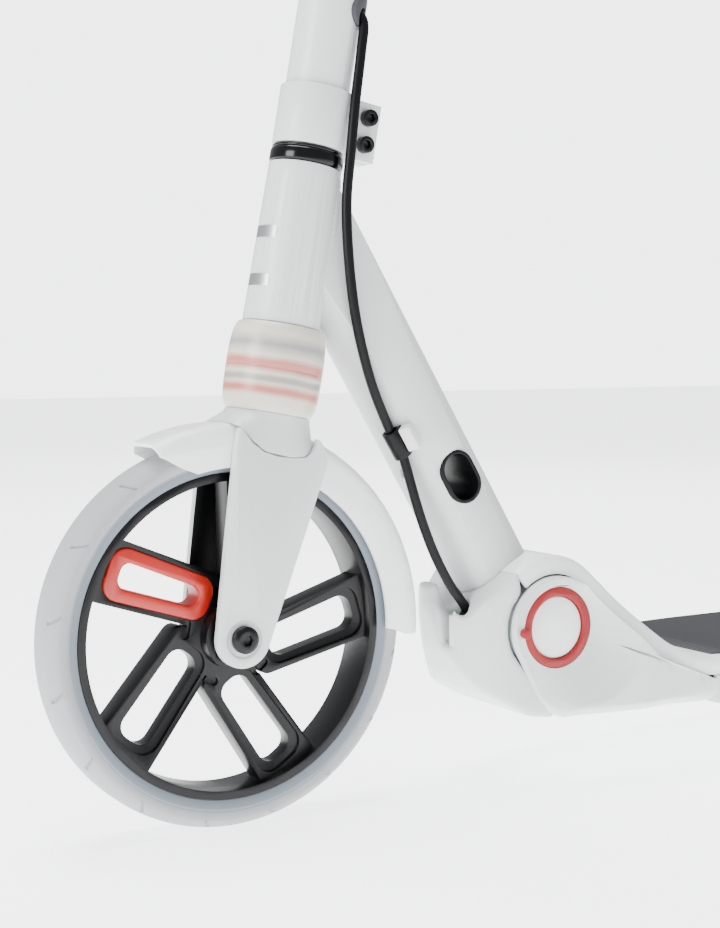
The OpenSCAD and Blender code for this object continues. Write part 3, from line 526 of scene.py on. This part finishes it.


# %% [markdown]
# ## Painted shade inside the fork
# The blades' inner faces are made black where they look at the wheel. This is painted shade for the
# dark gap between blade and wheel. Those faces are found by their normals, and they get the black
# plastic as a second material.

# %% Blade insides
blades = bpy.data.objects["fork_blades_form"]
blades.data.materials.append(finishes["black_plastic"].material)
# painted shade: blade faces below this height that look in at the wheel are made black
inward, painted_shade_top = 0.5, axle.z + 0.088
painted_shade_faces = 0
for face in blades.data.polygons:
    faces_wheel = face.normal.y * face.center.y < -inward * abs(face.center.y)
    # painted shade: this face looks at the wheel and gets the black plastic
    if faces_wheel and face.center.z < painted_shade_top:
        face.material_index = 1
        painted_shade_faces += 1
print("black faces", painted_shade_faces)

# %% [markdown]
# ## Tyres
# The tyre is solid rubber. Seen close, its sidewall has a thin step where the blue-grey ring ends,
# and the tread is almost flat. Small slanting sipes are pressed into the shoulder, a few
# centimetres apart.

# %% Tyre sections
tyre_steps, sipe_every, sipe_place = 240, 15, 5
sipe_inset, sipe_depth, sipe_low, sipe_high = 0.00095, 0.0012, 0.4, 7.5
slant, slant_depth = 8.5, 0.011


def arc(cx, cy, r, first, last, n):
    return [(cx + r * cos(radians(first + (last - first) * k / n)),
             cy + r * sin(radians(first + (last - first) * k / n))) for k in range(n + 1)]


def tyre(node, hub, seat, rim_half, flat, corner, step, finish, body):
    outer = (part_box(node)[1].z - hub.z) / MM
    side = [(seat, rim_half - 0.6), (seat + 0.6, rim_half), (seat + step - 0.5, rim_half + 1.4),
            (seat + step, rim_half + 1.2), (seat + step + 0.5, rim_half + 1.7)]
    side += arc(outer - corner, flat, corner, 62, 4, 9)
    section = side + [(outer, 0)] + [(r, -a) for r, a in reversed(side)]
    piece = spun(node + "_form", [(r * MM, a * MM) for r, a in section], hub, steps=tyre_steps)
    pick(piece)
    bpy.ops.object.mode_set(mode="EDIT")
    bpy.ops.mesh.select_mode(type="FACE")
    bpy.ops.mesh.select_all(action="DESELECT")
    bpy.ops.object.mode_set(mode="OBJECT")
    # the shoulder's points are turned further the deeper they lie, which slants the sipes
    for vertex in piece.data.vertices:
        place = vertex.co - hub
        depth = outer * MM - hypot(place.x, place.z)
        twist = slant * min(max(depth, 0.0), slant_depth)
        vertex.co = hub + Vector((place.x * cos(twist) - place.z * sin(twist), place.y,
                                  place.x * sin(twist) + place.z * cos(twist)))
    for face in piece.data.polygons:
        place = face.center - hub
        depth = outer - hypot(place.x, place.z) / MM
        on_shoulder = sipe_low < depth < sipe_high and abs(place.y) / MM > flat
        if on_shoulder and (face.index // len(section)) % sipe_every == sipe_place:
            face.select = True
    print(node, "sipe faces", sum(face.select for face in piece.data.polygons))
    bpy.ops.object.mode_set(mode="EDIT")
    bpy.ops.mesh.inset(thickness=sipe_inset, depth=-sipe_depth, use_even_offset=True)
    bpy.ops.mesh.select_mode(type="VERT")
    bpy.ops.object.mode_set(mode="OBJECT")
    return settle(piece, body, "pale_tyre", node, smooth_to=50, finish=finish)


tyre("front_tyre", axle, seat=84.3, rim_half=12.5, flat=4.6, corner=11, step=5.6,
     finish=front_rubber, body="front_wheel")
tyre("rear_tyre", rear_axle, seat=76, rim_half=12.5, flat=9, corner=12, step=4.5,
     finish=rear_rubber, body="rear_wheel")

# %% [markdown]
# ## Boot
# The boot is a short barrel of thick rubber with rolled ends and a fine parting line round its
# middle. The real one shortens when the fork dips.

# %% Boot form
boot_low, boot_high, boot_tall = 0.1157, 0.1621, 46.4
outline = [(19.9, 0), (21.4, 0.0), (22.5, 0.5), (23.5, 1.8), (24.1, 3.6), (24.7, 6.5), (25.1, 10),
           (25.35, 15), (25.4, 20), (25.42, 22.6), (25.25, 22.9), (25.42, 23.2), (25.4, 27),
           (25.3, 32), (25.0, 36.5), (24.5, 40), (23.9, 42.6), (23.1, 44.6), (22.2, 45.9),
           (21.2, boot_tall), (19.9, boot_tall)]
boot = spun("boot_form", [(r * MM, boot_low + h / boot_tall * (boot_high - boot_low))
                          for r, h in outline], head_foot, axis="head", steps=96)
settle(boot, "steering", "milky_rubber", "boot", smooth_to=60)
tuple(on_head(boot_high))
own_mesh(boot)
for node in ("elastomers", "elastomer_washer"):
    spring = refined(node, 0.0004)
    tuple(on_head(0.143))
    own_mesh(spring)

# %% [markdown]
# ## Headset ring
# The gloss black ring under the clamp collar is turned, with a shallow groove near its top edge
# and rolled corners, so it takes long thin highlights.

# %% Headset ring
ring_mid = (centre("headset_ring") - head_foot).dot(head_dir)
ring_tall = 9.2
profile = [(14.6, 0), (18.3, 0), (18.8, 0.25), (19.2, 0.8), (19.4, 1.6), (19.45, 3.5), (19.4, 6.2),
           (19.1, 7.0), (18.55, 7.3), (18.5, 7.6), (18.9, 7.9), (18.9, 8.5), (18.6, 9.0),
           (18.2, ring_tall), (14.6, ring_tall)]
gloss_ring = spun("gloss_ring", [(r * MM, ring_mid + (h - ring_tall / 2) * MM) for r, h in profile],
                  head_foot, axis="head", steps=120)
settle(gloss_ring, nodes["headset_ring"]["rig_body"], "black_gloss", "headset_ring", smooth_to=60)

# %% [markdown]
# ## Handlebar grips
# Each grip is moulded rubber: a flange at its inner end, then rows of shallow rings, then a rounded
# end. One section is turned round the bar, and its mirror image makes the other grip.

# %% Grips
grip_low, grip_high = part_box("grips")
bar_mid = (grip_low + grip_high) / 2
outer_end, grip_length, grip_bore = grip_high.y / MM, 112, 11.15
grip_rings, ring_pitch, first_ring = 24, 4, 9
for side, label in ((1, "left"), (-1, "right")):
    inner_end = outer_end - grip_length
    section = [(grip_bore, inner_end), (17.6, inner_end), (18.3, inner_end + 0.8),
               (18.4, inner_end + 2.5), (18.2, inner_end + 4.4), (17.2, inner_end + 5.2),
               (15.6, inner_end + 6.2)]
    for k in range(grip_rings):
        at = inner_end + first_ring + k * ring_pitch
        section += [(15.5, at), (15.3, at + 0.4), (14.7, at + 0.9), (14.7, at + 1.5),
                    (15.3, at + 2.0), (15.5, at + 2.4)]
    section += [(15.5, outer_end - 3.5), (15.0, outer_end - 1.3), (13.6, outer_end - 0.2),
                (11.5, outer_end), (3.0, outer_end), (3.0, outer_end - 2.6),
                (grip_bore, outer_end - 3)]
    grip = spun("grip_" + label, [(r * MM, a * side * MM) for r, a in section],
                Vector((bar_mid.x, 0, bar_mid.z)), steps=72)
    stands_for = ("grips",) if side > 0 else ()
    settle(grip, nodes["grips"]["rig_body"], "grip_rubber", *stands_for, smooth_to=50)

# %% [markdown]
# ## Fork crown
# The crown is a casting that starts as a round neck under the boot and spreads into a flat-sided
# bridge over the mudguard. It ends in an S-shaped seam that the two blades are welded along.

# %% Crown form
def smooth(t):
    t = min(1.0, max(0.0, t))
    return t * t * (3 - 2 * t)


seam = [(6.5, 112), (0, 108.2), (-6, 101), (-12, 95.6), (-20, 92.6), (-30, 91.2), (-36, 91.4),
        (-40, 93.4), (-43, 97.2), (-44.5, 103)]


def seam_height(x):
    for (x1, z1), (x0, z0) in zip(seam, seam[1:]):
        if x0 <= x <= x1:
            return z0 + (z1 - z0) * (x - x0) / (x1 - x0)
    return seam[0][1] if x > seam[0][0] else seam[-1][1]


foot_mid, foot_half, foot_side = -20.8, 23.4, 24.0
neck_r, crown_levels, crown_points = 0.0223, 12, 96
rows = []
for level in range(crown_levels + 1):
    t = level / crown_levels
    row = []
    for k in range(crown_points + 1):
        a = 2 * pi * (k % crown_points) / crown_points
        c, s = cos(a), sin(a)
        box_x = foot_mid + foot_half * (abs(c) ** 0.55) * (1 if c > 0 else -1)
        box_y = foot_side * (abs(s) ** 0.4) * (1 if s > 0 else -1)
        low = axle + Vector((box_x, box_y, seam_height(box_x))) * MM
        high = on_head(boot_low, neck_r * c, neck_r * s)
        flare = smooth(t ** 0.8) * 0.75 + t * 0.25
        place = low.lerp(high, t)
        wide = low.lerp(high, flare)
        row.append(Vector((wide.x, wide.y, place.z)))
    rows.append(row)
crown = woven("crown_form", rows, close_row=True)
settle(crown, "fork", "white_paint", "fork_crown", smooth_to=50)

# %% [markdown]
# ## Cheeks
# The deck's casting ends in two cheeks that hold the fold hinge. Each is a plate with a soft
# shoulder. Behind the coral ring a shallow dish is scooped out, level with the ring at the front
# and running up to the cheek's face at the back.

# %% Cheek outline
cheek_top = [(-20.2, 20.2), (-57, -14), (-62, -18.8), (-69, -24.3), (-76, -28.2), (-84, -31.2),
             (-93, -33.6), (-103.2, -35.2)]
cheek_low = [(-103.2, -51.2), (-18, -51.2), (-6, -51.8), (3, -48.5), (12, -38), (25.6, -12.5)]
cheek_loop = cheek_top + cheek_low
cheek_r = 28.5


def to_loop(x, z):
    """Distance to the cheek's outline, without the cut where the deck goes on."""
    best = 1e9
    for k, (ax, az) in enumerate(cheek_loop):
        bx, bz = cheek_loop[(k + 1) % len(cheek_loop)]
        if k == len(cheek_top) - 1 or k == len(cheek_loop) - 1:
            continue
        dx, dz = bx - ax, bz - az
        u = min(1, max(0, ((x - ax) * dx + (z - az) * dz) / (dx * dx + dz * dz)))
        best = min(best, hypot(x - ax - u * dx, z - az - u * dz))
    if radians(-27) < atan2(z, x) < radians(135):
        best = min(best, abs(cheek_r - hypot(x, z)))
    return best


def reach(turn):
    """How far the outline is from the hinge in this direction."""
    c, s = cos(turn), sin(turn)
    far = cheek_r
    for k, (ax, az) in enumerate(cheek_loop):
        bx, bz = cheek_loop[(k + 1) % len(cheek_loop)]
        det = c * (az - bz) - s * (ax - bx)
        if abs(det) < 1e-9 or k == len(cheek_loop) - 1:
            continue
        r = (ax * (az - bz) - az * (ax - bx)) / det
        u = (c * az - s * ax) / det
        if r > 0 and -1e-6 <= u <= 1 + 1e-6:
            far = max(far, r)
    return far


print("cheek outline", len(cheek_loop), "points, reach to the front", round(reach(0), 2))

# %% Cheek face
front_half, deck_half, tail_half = 42, 65, 40
deck_tail = -278 - hinge.x / MM


def half_width(x):
    """Half width of the deck, at a place x millimetres ahead of the hinge."""
    front = front_half + (deck_half - front_half) * smooth((29 - x) / 206)
    return min(front, tail_half + (deck_half - tail_half) * smooth((x - deck_tail) / 80))


ring_level, ring_r, rim_rise = 42.5, 22.7, 6.2
dish_x, dish_z, dish_r, dish_steps = -15.7, -10.2, 34.0, 12
inner_level, lowest_level = 38.45, 38.9
edge_round, low_round = 1.4, 8.5


def cheek_face(x, z):
    skin = half_width(x) + rim_rise * smooth((x + 80) / 30) * smooth((14 - x) / 46)
    inside = max(ring_r + 0.4 + k / dish_steps * (dish_r - ring_r - 0.4)
                 - hypot(x - dish_x * k / dish_steps, z - dish_z * k / dish_steps)
                 for k in range(dish_steps + 1))
    out = hypot(x, z) - ring_r
    if inside > 0 and out >= -0.5:
        share = inside / (inside + max(out, 0.0) + 1e-6)
        skin += (ring_level - skin) * share
    elif out < 2:
        skin += (ring_level - skin) * smooth(1 - out / 2)
    low = smooth((-z - 38) / 12)
    r = edge_round + low_round * low * smooth((30 - x) / 50)
    d = to_loop(x, z)
    if d < r:
        skin -= r - sqrt(max(0.0, r * r - (r - d) ** 2))
    return skin


print("cheek face at the ring's foot", round(cheek_face(0, -ring_r - 4), 2))

# %% Cheeks
def cheek(side, turns=200, steps=44):
    rows = []
    for k in range(turns + 1):
        turn = 2 * pi * (k % turns) / turns
        far = reach(turn)
        row = []
        for j in range(steps + 1):
            t = 1 - (1 - j / steps) ** 1.6
            r = ring_r + (far - ring_r) * t
            x, z = r * cos(turn), r * sin(turn)
            y = max(lowest_level, cheek_face(x, z))
            row.append(hinge + Vector((x, y * side, z)) * MM)
        for r in (far, ring_r):
            row.append(hinge + Vector((r * cos(turn), inner_level * side, r * sin(turn))) * MM)
        row.append(row[0])
        rows.append(row)
    return woven("cheek_left" if side > 0 else "cheek_right", rows, close_row=True, cap=False)


for piece in [cheek(1), cheek(-1)]:
    settle(piece, "deck", "white_paint", smooth_to=40)

# %% [markdown]
# ## Deck casting
# Behind the cheeks the casting is a plain tray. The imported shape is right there, so it is copied,
# the corners that the cheeks take over are cut away, and the lower edges are rounded well.

# %% Deck casting
def carved(node, boxes, width, segments):
    piece = cleaned(node)
    for low, high in boxes:
        bpy.ops.object.select_all(action="DESELECT")
        bpy.ops.mesh.primitive_cube_add(size=1, location=[(a + b) / 2 for a, b in zip(low, high)])
        cutter = bpy.context.object
        cutter.scale = [b - a for a, b in zip(low, high)]
        apply_modifier(piece, "BOOLEAN", operation="DIFFERENCE", object=cutter, solver="EXACT")
        bpy.data.objects.remove(cutter)
    apply_modifier(piece, "BEVEL", width=width, segments=segments, limit_method="ANGLE",
                   angle_limit=corner_angle)
    return settle(piece, nodes[node]["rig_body"], slot_of[node], node)


cut_from, cut_to, cut_in, cut_out, cut_top = hinge.x - 0.103, hinge.x + 0.05, 0.0384, 0.09, 0.2
left_cut = ((cut_from, cut_in, 0), (cut_to, cut_out, cut_top))
right_cut = ((cut_from, -cut_out, 0), (cut_to, -cut_in, cut_top))
carved("deck_shell", [left_cut, right_cut], width=0.0028, segments=4)

# %% [markdown]
# ## White band
# One white moulding runs over the hinge, down the slope and round the deck. Its section is a wide
# U with round shoulders. The part over the hinge turns with the frame, so the band is made in
# two lengths of the same section, with a hairline between them.

# %% Band
cover_first, cover_last, cover_steps = 52.0, 131.6, 24
slope = radians(cover_last)
slope_n = Vector((cos(slope), 0, sin(slope)))
slope_t = Vector((-sin(slope), 0, cos(slope)))
band_r, cover_half, crown_dip = 39.6, 38.15, 0.05


def smooth_path(points, n):
    """A smooth curve through the points, with n steps from each to the next."""
    path = []
    for i in range(len(points) - 1):
        a, b = points[max(i - 1, 0)], points[i]
        c, d = points[i + 1], points[min(i + 2, len(points) - 1)]
        for k in range(n):
            t = k / n
            path.append(0.5 * (2 * b + (c - a) * t + (2 * a - 5 * b + 4 * c - d) * t * t
                               + (3 * b - a - 3 * c + d) * t ** 3))
    return path + [points[-1]]


def heading(line, i):
    return (line[min(i + 1, len(line) - 1)] - line[max(i - 1, 0)]).normalized()


def band(name, path, normals, widths, depth, shoulder, wall, shifts):
    rows = []
    for i, (p, n, w) in enumerate(zip(path, normals, widths)):
        outer = [(w, depth)] + [(w - shoulder + shoulder * cos(radians(a)),
                                 shoulder - shoulder * sin(radians(a))) for a in range(0, 91, 10)]
        outer += [(w * 0.5, crown_dip), (0, crown_dip)]
        outer += [(-y, d) for y, d in reversed(outer[:-1])]
        inner = [(w - wall, depth)] + [(w - wall - (shoulder - wall) * (1 - cos(radians(a))),
                                        wall + (shoulder - wall) * (1 - sin(radians(a))))
                                       for a in range(0, 91, 30)] + [(0, wall)]
        inner += [(-y, d) for y, d in reversed(inner[:-1])]
        row = []
        for y, d in outer + inner[::-1]:
            row.append(hinge + (p - n * d) * MM + Vector((0, y * MM, 0)) + shifts(i, d))
        row.append(row[0])
        rows.append(row)
    return woven(name, rows, close_row=True)


# %% Moving length
turning, facing = [], []
for k in range(cover_steps + 1):
    a = radians(cover_first + (cover_last - cover_first) * k / cover_steps)
    n = Vector((cos(a), 0, sin(a)))
    turning.append(n * band_r)
    facing.append(n)
trim_r, cover_r, tail_steps = 42.9, 42.6, 6
tail = sqrt(cover_r ** 2 - band_r ** 2)
for k in range(1, tail_steps + 1):
    turning.append(slope_n * band_r + slope_t * tail * k / tail_steps)
    facing.append(slope_n)


def cover_end(i, d):
    """The moving length ends on the circle that it turns in."""
    depth = sqrt(max(0.0, cover_r ** 2 - (band_r - d) ** 2)) - tail
    return slope_t * depth * MM if i == len(turning) - 1 else Vector()


cover = band("cover_form", turning, facing, [cover_half] * len(turning), depth=10.2,
             shoulder=5.5, wall=2.6, shifts=cover_end)
settle(cover, "front_frame", "white_trim", "drum_cover", smooth_to=40)

# %% Fixed length
trim_from, trim_top, trim_inset, trim_swell = 16.3, -24.2, 4, 2.6
runs = [slope_n * band_r + slope_t * s for s in (trim_from, 24, 32, 40, 48, 56)]
runs += [Vector((x, 0, z)) for x, z in ((-77, -15.1), (-84.5, -19.3), (-92.5, -22.2), (-101, -23.8),
                                        (-110, trim_top), (-120, trim_top), (-150, trim_top))]
line = smooth_path(runs, 4)
line += [Vector((x, 0, trim_top)) for x in range(-160, int(deck_tail), -10)]
line.append(Vector((deck_tail, 0, trim_top)))
ways = []
for i in range(len(line)):
    d = heading(line, i)
    ways.append(Vector((d.z, 0, -d.x)))
widths = []
for p in line:
    on_deck = half_width(p.x) - trim_inset + trim_swell * smooth((-p.x - 60) / 60)
    widths.append(cover_half + (on_deck - cover_half) * smooth((-p.x - 40) / 48))


def trim_start(i, d):
    """Deeper layers start later, so the moving length turns past them."""
    depth = sqrt(max(0.0, trim_r ** 2 - (band_r - d) ** 2)) - trim_from
    return slope_t * depth * MM if i == 0 else Vector()


trim = band("trim_form", line, ways, widths, depth=10.9, shoulder=6.0, wall=2.6,
            shifts=trim_start)
settle(trim, "deck", "white_trim", "trim_band", smooth_to=40)

# %% [markdown]
# ## Nose
# The nose holds the foot of the down tube. On the real one it is a smooth casting with no edge
# that isn't rounded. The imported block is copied, remeshed into even small cubes, and smoothed, so
# its corners melt together as they do in a casting.

# %% Nose
def melted(node, voxel, rounds, swell):
    piece = copied(node)
    apply_modifier(piece, "REMESH", mode="VOXEL", voxel_size=voxel)
    apply_modifier(piece, "SMOOTH", factor=0.5, iterations=rounds)
    apply_modifier(piece, "DISPLACE", strength=swell, mid_level=0.0)
    apply_modifier(piece, "SMOOTH", factor=0.5, iterations=4)
    return settle(piece, nodes[node]["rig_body"], slot_of[node], node, smooth_to=70)


nose = melted("nose_shell", voxel=0.0011, rounds=34, swell=0.0009)
# its front is made narrower, leans out at the top, and has a raised middle
front_from, front_over, narrowing = 0.026, 0.034, 0.30
top_out, foot_in, middle_up, side_down = 0.0052, 0.0055, 0.005, 0.004
for vertex in nose.data.vertices:
    v = vertex.co
    forward = smooth((v.x - hinge.x - front_from) / front_over)
    height = (v.z - hinge.z) / MM
    v.y *= 1 - narrowing * forward ** 2
    lean = top_out * smooth((height + 30) / 38) - foot_in * smooth((-height - 12) / 34)
    v.x += lean * forward
    v.z += (middle_up - side_down * smooth(abs(v.y) / 0.03)) * forward * smooth((height + 10) / 16)

# %% [markdown]
# ## Weld bead
# The down tube is welded to the head tube. A weld bead is a row of overlapping drops, so its
# width swells a little with each drop. The bead runs down both sides of the joint.

# %% Weld
def rod(name, line, radii, sides, beside):
    """A bar of round section along a line, with its own radius at each point."""
    rows = []
    for i, (p, r) in enumerate(zip(line, radii)):
        d = heading(line, i)
        side = d.cross(Vector(beside)).normalized()
        across = side.cross(d)
        row = [p + (side * cos(2 * pi * k / sides) + across * sin(2 * pi * k / sides)) * r
               for k in range(sides)]
        rows.append(row + [row[0]])
    return woven(name, rows, close_row=True)


weld_low, weld_tall, weld_beside, weld_back, weld_lean = 0.190, 0.052, 0.0132, 0.0155, 0.0012
bead_r, drops_between, drop_every, weld_parts = 0.0019, 9, 3, 6
for side, label in ((1, "left"), (-1, "right")):
    corners = [on_head(weld_low + weld_tall * k / weld_parts,
                       -weld_back + weld_lean * k / weld_parts, side * weld_beside)
               for k in range(weld_parts + 1)]
    line = smooth_path(corners, drops_between)
    radii = []
    for i in range(len(line)):
        drop = 0.8 + 0.2 * abs(sin(pi * i / drop_every))
        radii.append(bead_r * drop * sqrt(sin(pi * (i + 0.5) / (len(line) + 0.5))))
    bead = rod("weld_bead_" + label, line, radii, sides=10, beside=(0, 1, 0))
    settle(bead, "front_frame", "white_paint", smooth_to=60)

# %% [markdown]
# ## Lock tab
# The coral ring has a small round tab at its front edge that shows when the fold is locked. It is
# a short cylinder that stands on the ring, and only its edges need softening.

# %% Lock tab
bpy.ops.object.select_all(action="DESELECT")
tab_at, tab_r, tab_depth = hinge + Vector((0.0228, 0.0437, -0.0012)), 0.0028, 0.0036
bpy.ops.mesh.primitive_cylinder_add(radius=tab_r, depth=tab_depth, vertices=40, location=tab_at,
                                    rotation=(pi / 2, 0, 0))
tab = bpy.context.object
tab.name = "lock_tab"
bpy.ops.object.transform_apply(location=True, rotation=True, scale=True)
apply_modifier(tab, "BEVEL", width=0.0006, segments=3, limit_method="ANGLE")
settle(tab, "deck", "coral_paint")

# %% [markdown]
# ## Brake cable
# The cable leaves the bar's column, hangs down behind the head tube, passes under a clip and goes
# into the nose. It is one smooth curve of round section. Between the column and the frame the real
# cable has to give as the bar is steered; this one is fixed in place and belongs to no body.

# %% Cable
route = [(262, 12, 96), (258, 13, 101), (264, 15, 109), (272, 16, 119), (282.5, 17, 137),
         (292, 17.5, 159.5), (300.4, 16.3, 187.5), (304.8, 15.9, 195.5), (309.2, 15.9, 203.6),
         (322.5, 19.3, 229.5), (332, 21, 261), (336, 20.6, 292), (336.6, 19.5, 322),
         (333.8, 19.2, 348), (330.3, 18.1, 374), (325.4, 16.1, 401), (323, 14.4, 416),
         (326, 10.5, 424)]
cable_line = smooth_path([Vector(p) * MM for p in route], 5)
cable_r = 0.0027
cable = rod("brake_cable", cable_line, [cable_r] * len(cable_line), sides=20,
            beside=(1, 0.3, 0.2))
settle(cable, None, "black_plastic", "cable", smooth_to=60)
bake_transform(cable)
cable_length = sum((b - a).length for a, b in zip(cable_line, cable_line[1:]))
print("cable length", round(cable_length, 4))

# %% [markdown]
# ## Grip mat
# The mat is dark rubber with fine ribs along the deck. A grid the size of the mat is raised and
# lowered rib by rib, and its rim is rounded down to the deck.

# %% Mat
mat_low, mat_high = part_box("grip_mat")
ribs, rib_steps, mat_steps = 26, 4, 60
mat_margin, rib_high, rim_drop, rim_round = 8.4, 0.0011, 0.0009, 0.0015
half = (mat_high.y - mat_low.y) / 2
rows = []
for k in range(mat_steps + 1):
    x = mat_low.x + (mat_high.x - mat_low.x) * k / mat_steps
    to_end = min(x - mat_low.x, mat_high.x - x)
    local = min(half, (half_width((x - hinge.x) / MM) - mat_margin) * MM)
    row = [Vector((x, -local, mat_low.z))]
    for j in range(ribs * rib_steps + 1):
        v = -1 + 2 * j / (ribs * rib_steps)
        rise = 0.5 - 0.5 * cos(2 * pi * j / rib_steps)
        edge = smooth(min(to_end, local * (1 - abs(v))) / rim_round)
        top = mat_high.z - rib_high * (1 - rise * edge) - rim_drop * (1 - edge)
        row.append(Vector((x, local * v * 0.999, top)))
    row += [Vector((x, local, mat_low.z)), row[0]]
    rows.append(row)
mat = woven("ribbed_mat", rows, close_row=True)
settle(mat, "deck", "grip_rubber", "grip_mat", smooth_to=50)

# %% [markdown]
# ## Marks on the head tube
# The head tube carries two short silver bars of thin film. They are plain bars with no meaning,
# bent round the tube, a hair above the paint.

# %% Silver bars
def bar_on_tube(name, low, high, first, last, radius, around=12, along=4):
    rows = []
    for k in range(around + 1):
        a = radians(first + (last - first) * k / around)
        rows.append([on_head(low + (high - low) * j / along, radius * cos(a), radius * sin(a))
                     for j in range(along + 1)])
    piece = woven(name, rows, cap=False)
    apply_modifier(piece, "SOLIDIFY", thickness=0.0003, offset=0)
    return settle(piece, "front_frame", "bare_metal", smooth_to=60)


tube_foot, tube_length, tube_low_r, tube_taper = 0.1641, 0.1, 0.0205, 0.0013
film_gap = 0.00008
for name, low, high in (("silver_bar_low", 0.1800, 0.1862), ("silver_bar_high", 0.2052, 0.2114)):
    middle = ((low + high) / 2 - tube_foot) / tube_length
    bar_on_tube(name, low, high, -14, 34, tube_low_r - tube_taper * middle + film_gap)
